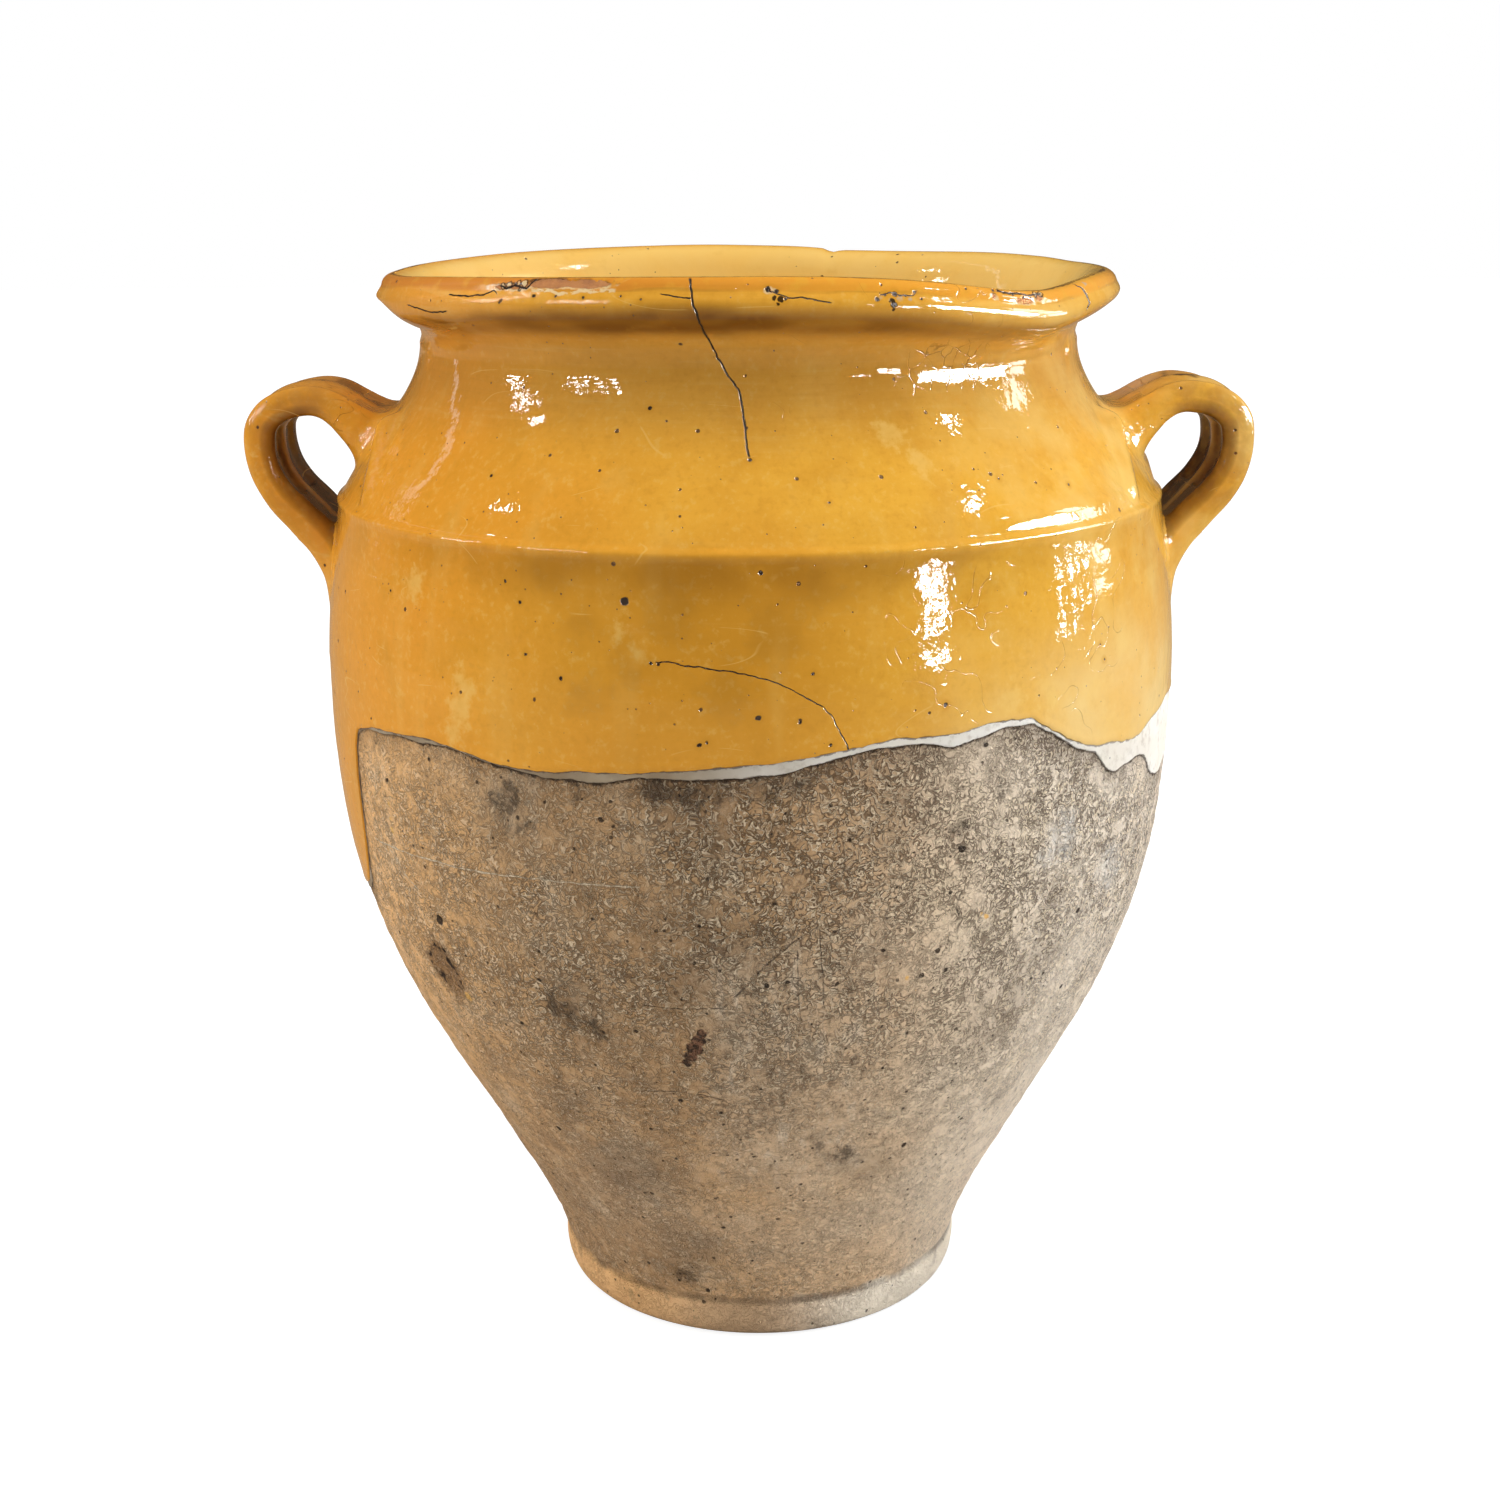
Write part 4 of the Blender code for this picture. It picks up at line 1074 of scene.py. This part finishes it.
    # Pits, cracks, flakes, chips and dirt.
    marks = most(times(look.dots(2.6, 0.36, 0.3), 0.8), look.dots(4.6, 0.78, 0.24, wobbled(3, 0.5, 8)))
    pit_gap = spots(PITS, on_pot, 1.8, 0.55, 9)
    dark = most(rise(pit_gap, 0.12, -0.2), times(look.lines(GLAZE_CRACKS, on_pot, 2.4, 0.5, 10), outer))
    flakes = spots(CREAM_FLAKES, on_pot, 2.2, 1.2, 29)
    cream = times(look.lines(CREAM_LINES, on_pot, 3, 0.9, 28), rise(mottle, 0.4, 0.5))
    cream = most(cream, rise(flakes, 0.15, -0.1))
    chip = plus(mark("chip"), rise(noise(1.8, 11, 3), 0.25, 0.75, -0.3, 0.3))
    chipped = rise(chip, 0.06, -0.06)
    chip_low = rise(run, RUN_CREST - 3.2, RUN_CREST - 4.2)
    paint(GLAZE_OCHRE, rise(pit_gap, 1.6, 0, 0, 0.45))
    paint((0.07, 0.03, 0.010), marks, 0.9)
    # The chips' rims: dark along the upper edge as painted shade, and cream along the lower edge as a painted
    # highlight.
    paint(mix(chip_low, (0.09, 0.04, 0.02), (0.78, 0.58, 0.30)), rise(chip, 0.7, 0.3), rise(chip, -0.2, 0),
          rise(noise(4, 24), 0.35, 0.55), 0.85)
    paint(mix(rise(noise(3.4, 12, 3), 0.4, 0.75), CHIP_CLAY, (0.34, 0.125, 0.05)), chipped)
    paint(DIRT, look.line_at(flakes, 0.35, 0.3), 0.85)
    paint((0.80, 0.60, 0.31), cream, 0.85)
    paint((0.52, 0.40, 0.27), rise(spots(GREY_SMEAR, on_pot, 2.4, 1.8, 35), 0.3, -0.5, 0, 0.85))
    paint(DIRT, rise(spots(BLACK_MARKS, on_pot, 1.8, 1, 36), 0.15, -0.15, 0, 0.95))
    paint(DIRT, dark)
    rim = plus(mark("from_edge"), rise(fine, 0.3, 0.7, -0.3, 0.5))
    paint((0.09, 0.055, 0.03), rise(rim, 0.35, 0), rise(x, -0.124, -0.108, 0.15, 0.7))

    # Sheen and relief.
    hollow_marks = most(dark, marks)
    smudge = rise(noise(30, 13, 4, 0.6), 0.3, 0.75, 0.02, 0.055)
    smudge = with_share(smudge, times(rise(x, -0.035, -0.09), rise(z, 0.336, 0.341)), 0.22)
    smudge = with_share(smudge, mark("hollow_pool_and_shade"), 0.15)
    roughness = with_share(smudge, most(hollow_marks, chipped, times(cream, 0.6)), 0.6)
    rooted = times(rise(gap(x), 0.098, 0.108), rise(z, 0.268, 0.280), rise(z, 0.330, 0.318))
    lively = with_share(rise(noise(24, 25), 0.42, 0.6, 0.35), rooted, 1.5)
    ripple = with_share(noise(3.4, 15, distortion=0.5), noise(2, 37, 2, 0.55, 0.6), 0.35)
    normal = bump(noise(15, 14, distortion=0.3), 0.24)
    normal = bump(with_share(times(ripple, lively), brushed, 0.2), 0.115, normal)
    normal = bump(times(most(hollow_marks, craze), -1), 0.25, normal)
    normal = bump(times(chipped, noise(1, 16, 3)), 0.35, normal)
    return look.finish(roughness, normal, IOR=1.52)


def slip_look():
    """Fired white slip, matt: darker left of the middle from dirt and painted shade, and darkened along both
    its edges.
    """
    look = Look("slip_white")
    rise = look.rise
    cloud = rise(look.noise(16, 1, 3), 0.3, 0.7)
    fine = look.noise(2.6, 2, 3, 0.6)
    # Left of the middle: darker slip, from dirt and from painted shade.
    clean = look.mix(cloud, (0.72, 0.68, 0.60), (0.80, 0.785, 0.74))
    soiled_and_shaded = look.mix(cloud, (0.24, 0.165, 0.090), (0.42, 0.34, 0.235))
    look.colour = look.mix(rise(look.axes()[0], -0.03, 0.03), soiled_and_shaded, clean)
    look.paint((0.30, 0.235, 0.16), rise(fine, 0.5, 0.75, 0, 0.4))
    top = look.plus(look.mark("below_glaze"), rise(fine, 0.3, 0.7, -0.4, 0.35))
    low = look.plus(look.mark("from_edge"), look.sway(fine, 0.3))
    look.paint((0.085, 0.058, 0.038), look.most(rise(top, 0.35, 0.05), rise(low, 0.3, 0.02)), 0.7)
    look.paint((0.10, 0.07, 0.045), look.dots(4, 0.5, 0.34), 0.75)
    return look.finish(0.72, look.bump(fine, 0.12))


# Marks on the clay, as (degrees, height, size): small dirty patches, then broad soft ones.
CLAY_STAINS = (
    (-10.4, 210, 3), (-7.5, 208, 3.5), (-3.7, 210.5, 2.5), (1.5, 211, 2), (5.2, 211, 2.5), (-20.9, 209, 2),
    (-31, 203.5, 4), (-29, 197, 2.5), (-26.6, 136.5, 4.5), (-22.5, 131, 3), (25.8, 195, 3), (31.9, 206, 2.5),
    (10.4, 87, 3), (15.5, 80, 4), (-20, 22, 3), (100, 150, 5), (125, 120, 6), (160, 165, 5), (-110, 120, 5),
    (-150, 90, 6),
)
CLAY_SHADES = (
    (-5, 163, 17), (-8, 148, 12), (-25, 140, 11), (-30, 200, 9), (-7, 205, 14), (16, 203, 10), (-32, 98, 9),
    (-23, 72, 15), (-19, 32, 14), (20, 76, 12), (-0.5, 135, 8), (35, 125, 9), (95, 175, 16), (130, 100, 18),
    (170, 140, 20), (-140, 150, 18), (-95, 80, 16),
)
CLAY_PITS = (
    (25.6, 189.4, 1.2), (23.4, 157.8, 0.9), (21.6, 150, 0.8), (25, 150.5, 0.7), (-45.8, 157.7, 1.6),
    (1.4, 150.9, 0.8), (4, 152, 0.7), (16, 160, 0.7), (-20, 170, 0.7), (-14.4, 17.5, 0.8),
)
CLAY_GOUGE = (
    (-7.2, 133.4, 1.5), (-7.8, 130.6, 2.3), (-8.4, 127.6, 2.6), (-9.1, 124.6, 2.2), (-9.7, 121.8, 1.4),
)
CLAY_KNOT = ((-48.6, 141, 4), (-47.4, 135.5, 3))
CLAY_SPLASHES = (
    (-44.9, 131.4, 1.5), (-44.4, 130.2, 1), (-53.4, 191.5, 0.8), (-53.6, 187, 0.7), (-53.4, 183, 1),
    (30.1, 166.3, 1), (29.2, 166.9, 0.7), (19.5, 150.1, 0.8),
)
WHITE_SMUDGES = ((42, 187, 7), (40, 181, 4), (54, 169, 7))
CLAY_CUTS = (
    (UP, 0.42, ((7.8, 170), (4.6, 165.1), (1.4, 158), (-1.4, 150.3), (-4, 143.1))),
    (ACROSS, 0.18, ((-4, 143.1), (-8, 142.3), (-10.9, 142.1), (-15, 142.6))),
    (UP, 0.18, ((7.8, 170), (8, 163.4), (8.4, 154.4), (8.8, 141.8))),
    (UP, 0.14, ((5.2, 162.4), (5.3, 154), (5.4, 146.9), (5.9, 138))),
    (UP, 0.3, ((25.9, 176), (25.4, 171), (26.2, 167), (25.8, 162.4))),
    (ACROSS, 0.16, ((-17, 109.3), (-12, 110.2), (-7.7, 109.5), (-4.8, 107.8))),
)
CLAY_SCORES = (
    (ACROSS, 0.3, (
        (-60, 176.4), (-51, 177.4), (-44.7, 178.1), (-39, 178.6), (-32.3, 179.6), (-25.7, 180.5),
        (-18.4, 181.2), (-13.4, 181.5))),
    (ACROSS, 0.3, ((-55.8, 177), (-53.5, 173), (-52.1, 169.2), (-49.4, 166))),
)

CLAY_WARM = (0.90, 0.50, 0.195)
CLAY_TAN = (0.47, 0.270, 0.118)
CLAY_GREY = (0.80, 0.635, 0.460)
CLAY_PALE = (0.95, 0.840, 0.700)
CLAY_DARK = (0.085, 0.047, 0.023)
CLAY_LIGHT = (0.95, 0.78, 0.55)
FOOT_WARM = (0.95, 0.56, 0.250)
FOOT_CREAM = (0.96, 0.86, 0.71)


def clay_look():
    """Bare fired clay: warm on the left, greyer on the right, wrinkled, pitted, scratched and stained."""
    look = Look("clay_bare")
    x, _, z = look.axes()
    rise, sway, gap, times, plus, most = look.rise, look.sway, look.gap, look.times, look.plus, look.most
    noise, stretched, wobbled, spots = look.noise, look.stretched, look.wobbled, look.spots
    mix, paint, line_at, lines = look.mix, look.paint, look.line_at, look.lines

    # Wrinkles: ridge lines painted light as painted highlights and groove lines painted dark as painted
    # shade, where noise passes a level.
    cloud = noise(22, 2, 4, 0.6)
    blotch = noise(9, 10, 3, 0.6, 0.4)
    grain = noise(2.1, 5, 4, 0.75)
    warped = wobbled(6, 2.4, 3)
    worms = noise(3.7, 4, 1, 0.5, 1.2, warped)
    crumbs = noise(2.1, 17, 1, 0.5, 1.2, warped)
    where = rise(noise(34, 6), 0.32, 0.52, 0.5)
    busy = times(where, rise(z, 0.07, 0.17, 0.4), rise(x, -0.12, -0.03, 0.6))
    first = times(busy, rise(noise(5.5, 9), 0.40, 0.54))
    second = times(busy, rise(noise(7, 19), 0.36, 0.50, 0.2))
    shaded_groove_lines = most(times(line_at(worms, 0.50, 0.042), first), times(line_at(crumbs, 0.47, 0.055), second))
    lit_ridge_lines = most(times(line_at(worms, 0.565, 0.038), first), times(line_at(crumbs, 0.55, 0.05), second))

    # The ground tones and their mottling, with painted light on the right side.
    side = rise(plus(x, sway(noise(70, 1, 3), 0.03)), -0.075, 0.07)
    look.colour = mix(side, CLAY_WARM, CLAY_GREY)
    # The right side paler: partly the clay's own tone, partly painted light.
    paint(CLAY_PALE, rise(x, 0.035, 0.115))
    paint(CLAY_TAN, rise(gap(x, -0.028), 0.095, 0.02), rise(z, 0.04, 0.13, 0.15))
    paint((0.30, 0.180, 0.090), rise(x, 0.01, -0.05), rise(z, 0.12, 0.05), 0.6)
    paint(CLAY_LIGHT, rise(cloud, 0.47, 0.75, 0, 0.26))
    paint(CLAY_DARK, rise(cloud, 0.48, 0.25, 0, 0.34))
    paint(CLAY_DARK, rise(blotch, 0.52, 0.75, 0, 0.32))
    paint(CLAY_LIGHT, rise(blotch, 0.45, 0.25, 0, 0.2))
    shades = plus(spots(CLAY_SHADES, on_wall, 24, 16, 18), sway(grain, 3))
    paint((0.115, 0.070, 0.036), rise(shades, 8, -10, 0, 0.42))
    streaks = noise(4.2, 11, 3, 0.6, at=stretched(1, 1, 0.06))
    plate = times(rise(x, -0.022, -0.002), rise(x, 0.048, 0.026), rise(z, 0.06, 0.09), rise(z, 0.172, 0.15))
    plate = plus(plate, 0.2)
    paint(CLAY_GREY, plate, 0.3)
    paint(CLAY_GREY, rise(streaks, 0.5, 0.7, 0, 0.7), plate)
    paint(CLAY_DARK, rise(streaks, 0.48, 0.3, 0, 0.5), plate)
    paint(CLAY_DARK, rise(grain, 0.52, 0.68, 0, 0.6))
    paint(CLAY_LIGHT, rise(grain, 0.46, 0.30, 0, 0.35))
    throwing = noise(1.6, 12, at=stretched(0.05, 0.05, 1))
    paint(CLAY_DARK, rise(throwing, 0.6, 0.76), rise(z, 0.16, 0.05, 0.06, 0.3))
    # Painted highlights along the wrinkles' ridges, and painted shade in their grooves.
    paint(CLAY_LIGHT, lit_ridge_lines, 0.65)
    paint((0.10, 0.058, 0.030), shaded_groove_lines, 0.74)

    # Stains, the brown knot, and the dirt and shade under the slip's edge.
    fine_dirt = noise(4.5, 23, 3, 0.6)
    stained = plus(spots(CLAY_STAINS, on_wall, 7, 9, 20), sway(grain, 2.5))
    paint((0.05, 0.034, 0.022), rise(stained, 2.5, -2.5, 0, 0.7))
    knot = spots(CLAY_KNOT, on_wall, 7, 6, 13)
    paint((0.20, 0.095, 0.034), rise(knot, 8, 1, 0, 0.6))
    paint((0.045, 0.028, 0.018), line_at(knot, 1.5, 1.3), rise(fine_dirt, 0.42, 0.52))
    paint((0.06, 0.034, 0.02), rise(knot, 0.5, -2.5), rise(fine_dirt, 0.5, 0.62))
    shade = plus(look.mark("below_slip"), sway(grain, 0.6))
    paint((0.03, 0.02, 0.013), rise(shade, 1.1, 0.1, 0, 0.92), rise(x, -0.118, -0.100, 0.35))
    paint(CLAY_DARK, rise(shade, 10, 1, 0, 0.4), where)

    # The foot's paler band and the groove over it.
    foot = mix(rise(x, -0.045, 0.045), FOOT_WARM, FOOT_CREAM)
    foot = mix(rise(gap(x), 0.034, 0, 0, 0.6), foot, CLAY_TAN)
    foot = mix(rise(blotch, 0.56, 0.68, 0, 0.35), foot, (0.22, 0.14, 0.08))
    foot = mix(rise(grain, 0.58, 0.70, 0, 0.3), foot, CLAY_DARK)
    paint(foot, rise(plus(z, sway(blotch, 0.0015)), 0.0165, 0.0125))
    paint(CLAY_DARK, rise(z, 0.0118, 0.0134), rise(z, 0.0162, 0.0142), rise(cloud, 0.35, 0.6, 0.1, 0.6))

    # Pits, the gouge, cuts, scores, glaze splashes, white smudges and the foot's dark edge.
    specks = look.dots(3.9, 0.75, 0.5, wobbled(1.5, 0.5, 7))
    holes = look.dots(10, 1.15, 0.6, wobbled(1.8, 0.7, 8))
    pits = most(times(specks, 0.85), holes, rise(spots(CLAY_PITS, on_wall, 1.8, 0.7, 8), 0.15, -0.2))
    paint((0.028, 0.018, 0.012), pits, 0.92)
    gouge = spots(CLAY_GOUGE, on_wall, 2.2, 1.3, 21)
    torn = mix(rise(grain, 0.42, 0.58), (0.04, 0.022, 0.014), (0.26, 0.125, 0.07))
    paint(torn, rise(gouge, 0.3, -0.2, 0, 0.95))
    cuts = times(lines(CLAY_CUTS, on_wall, 3, 0.35, 14), rise(fine_dirt, 0.40, 0.56, 0.12, 0.75))
    paint((0.04, 0.026, 0.018), cuts)
    scores = times(lines(CLAY_SCORES, on_wall, 4, 0.8, 22), rise(grain, 0.6, 0.45, 0.2, 0.9))
    paint(CLAY_LIGHT, scores)
    paint((0.86, 0.50, 0.14), rise(spots(CLAY_SPLASHES, on_wall, 2.6, 1.4, 15), 0.2, -0.5, 0, 0.9))
    smudged = rise(spots(WHITE_SMUDGES, on_wall, 6, 8, 16), 3, -3, 0, 0.65)
    paint((0.86, 0.82, 0.76), smudged, rise(grain, 0.6, 0.42, 0.2))
    paint((0.08, 0.05, 0.03), rise(z, 0.0022, 0), 0.7)

    height = look.with_share(look.less(lit_ridge_lines, shaded_groove_lines), grain, 1.3)
    height = look.less(look.with_share(height, blotch, 1.2), most(pits, cuts), rise(gouge, 0.6, -0.8))
    normal = look.bump(plus(height, scores), 0.7)
    return look.finish(0.9, normal, **{"Specular IOR Level": 0.3})


def set_look(piece, material):
    piece.data.materials.clear()
    piece.data.materials.append(material)


def studio_lamp(name, azimuth, elevation, distance, width, height, level):
    """A soft rectangular lamp that faces the pot, placed by its direction from it."""
    data = bpy.data.lights.new(name, "AREA")
    data.shape = "RECTANGLE"
    data.size = width
    data.size_y = height
    data.energy = level * math.pi * width * height
    lamp = bpy.data.objects.new(name, data)
    climb = math.radians(elevation)
    away = Vector(turned(azimuth, math.cos(climb), math.sin(climb)))
    lamp.location = Vector((0, 0, 0.2)) + away * distance
    lamp.rotation_euler = away.to_track_quat("Z", "Y").to_euler()
    lamp.visible_camera = False
    lamp.visible_glossy = False
    bpy.context.scene.collection.objects.link(lamp)


def white_floor():
    """A pale floor that looks white to the camera and keeps the pot's soft shadow."""
    side = 6000
    corners = [(-side, -side, -0.3), (side, -side, -0.3), (side, side, -0.3), (-side, side, -0.3)]
    floor = build_mesh("floor", corners, [[(0, 1, 2, 3)]])
    look = Look("floor_white")
    path = look.add("ShaderNodeLightPath").outputs
    direct = look.most(path["Is Camera Ray"], path["Is Transmission Ray"])
    plain = look.add("ShaderNodeBsdfDiffuse", {"Color": (0.72, 0.72, 0.71)})
    faint_tone = look.mix(direct, (0.42, 0.27, 0.14), (0.36, 0.36, 0.36))
    faint = look.add("ShaderNodeBsdfDiffuse", {"Color": faint_tone})
    level = look.rise(direct, 0, 1, 0.06, 0.86, kind="LINEAR")
    glow = look.add("ShaderNodeEmission", {"Color": (1, 1, 1), "Strength": level})
    both = look.add("ShaderNodeAddShader", {0: faint.outputs[0], 1: glow.outputs[0]})
    seen = look.most(direct, path["Is Glossy Ray"])
    pick = look.add("ShaderNodeMixShader", {0: seen, 1: plain.outputs[0], 2: both.outputs[0]})
    look.add("ShaderNodeOutputMaterial", {"Surface": pick.outputs[0]})
    set_look(floor, look.material)


# The room's windows, in degrees round from the camera and up: left, right, low, high, then the panes
# across and up, the share of each pane that its frame takes, and the brightness.
WINDOWS = (
    (44.5, 52.5, 0.5, 9.5, 2, 2, 0.17, 75), (87, 101, -3.5, 3.5, 4, 3, 0.33, 60),
    (61, 100, 4.5, 23, 5, 1, 0.05, 75), (35, 40, 9.5, 12.5, 2, 1, 0.2, 60),
    (79.5, 86, 41, 45.5, 1, 1, 0.14, 75), (-91, -87, 38, 41.5, 1, 1, 0.16, 70),
    (-92, -85, 10, 33, 2, 6, 0.28, 60), (-66, -45, 11, 31, 4, 4, 0.34, 60),
    (-121.5, -119, -20, 60, 1, 1, 0.10, 1.6), (101, 112, -26, 32, 1, 5, 0.08, 9),
)
ROOM_TONE = (1.0, 0.68, 0.38)


def pane_share(look, value, low, high, count, frame_share):
    """1 in the panes that stand side by side from low to high, and 0 on their frames and outside."""
    along = look.rise(value, low, high, 0, count, kind="LINEAR")
    return look.rise(look.gap(look.maths("FRACT", along), 0.5), 0.5 - frame_share, 0.47 - frame_share)


def studio_world():
    """Soft grey light all round, a white background, and a dim room with windows for the glaze to mirror."""
    look = Look("studio", world=True)
    x, y, z = look.axes()
    rise = look.rise
    turn = look.maths("DEGREES", look.maths("ARCTAN2", x, look.times(y, -1)))
    climb = look.maths("DEGREES", look.maths("ARCSINE", z))
    glass = look.most(*[
        look.times(pane_share(look, turn, left, right, wide, frame_share),
                   pane_share(look, climb, low, high, tall, frame_share), level)
        for left, right, low, high, wide, tall, frame_share, level in WINDOWS])
    room = look.with_share(0.09, look.times(rise(x, 0.1, 0.85), rise(y, -0.4, 0.5)), 0.5)
    path = look.add("ShaderNodeLightPath").outputs
    mirrored = path["Is Glossy Ray"]
    direct = look.most(path["Is Camera Ray"], path["Is Transmission Ray"])
    soft = rise(y, -0.95, 0.35, 0.22, 0.85)
    strength = look.add("ShaderNodeMix", {0: mirrored, 2: soft, 3: look.plus(room, glass)}).outputs[0]
    strength = look.add("ShaderNodeMix", {0: direct, 2: strength, 3: 1}).outputs[0]
    tone = look.mix(look.times(mirrored, rise(glass, 1, 0.2)), (1, 1, 1), ROOM_TONE)
    background = look.add("ShaderNodeBackground", {"Color": tone, "Strength": strength})
    look.add("ShaderNodeOutputWorld", {"Surface": background.outputs[0]})
    bpy.context.scene.world = look.material


def studio_camera():
    """The photograph's view: a little above the lip, looking down 15 degrees."""
    data = bpy.data.cameras.new("camera")
    data.lens = 52.32
    data.sensor_width = 36
    data.shift_x = -0.001
    data.clip_start = 0.05
    camera = bpy.data.objects.new("camera", data)
    down = Matrix.Rotation(math.pi / 2 - 0.267, 4, "X")
    roll = Matrix.Rotation(-0.0075, 4, "Z")
    camera.matrix_world = Matrix.Translation((0, -0.720, 0.3821)) @ down @ roll
    bpy.context.scene.collection.objects.link(camera)
    bpy.context.scene.camera = camera


def dress():
    """Every piece of the jar, with its material and body."""
    glaze = glaze_look("glaze_yellow")
    pieces = (
        (make_clay(), clay_look(), "jar_body", "bare_clay"),
        (make_slip(), slip_look(), "slip_coat", "white_slip"),
        (make_glaze(), glaze, "glaze_coat", "outside_glaze"),
        (make_lining(), glaze, "glaze_lining", "inside_glaze"),
        (make_strap("left_strap", -1), glaze, "handle_left", "handle_glaze"),
        (make_strap("right_strap", 1), glaze, "handle_right", "handle_glaze"),
    )
    for piece, material, node, slot in pieces:
        set_look(piece, material)
        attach(piece, "root")
        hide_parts(node)


dress()
white_floor()
studio_world()
studio_camera()
studio_lamp("right_soft", 78, 22, 1.7, 1.1, 1.3, 3.1)
studio_lamp("left_soft", -86, 18, 1.8, 0.9, 1.3, 3.2)
studio_lamp("overhead", 10, 68, 1.5, 1.1, 1.1, 2.55)

bpy.context.scene.view_settings.view_transform = "Standard"
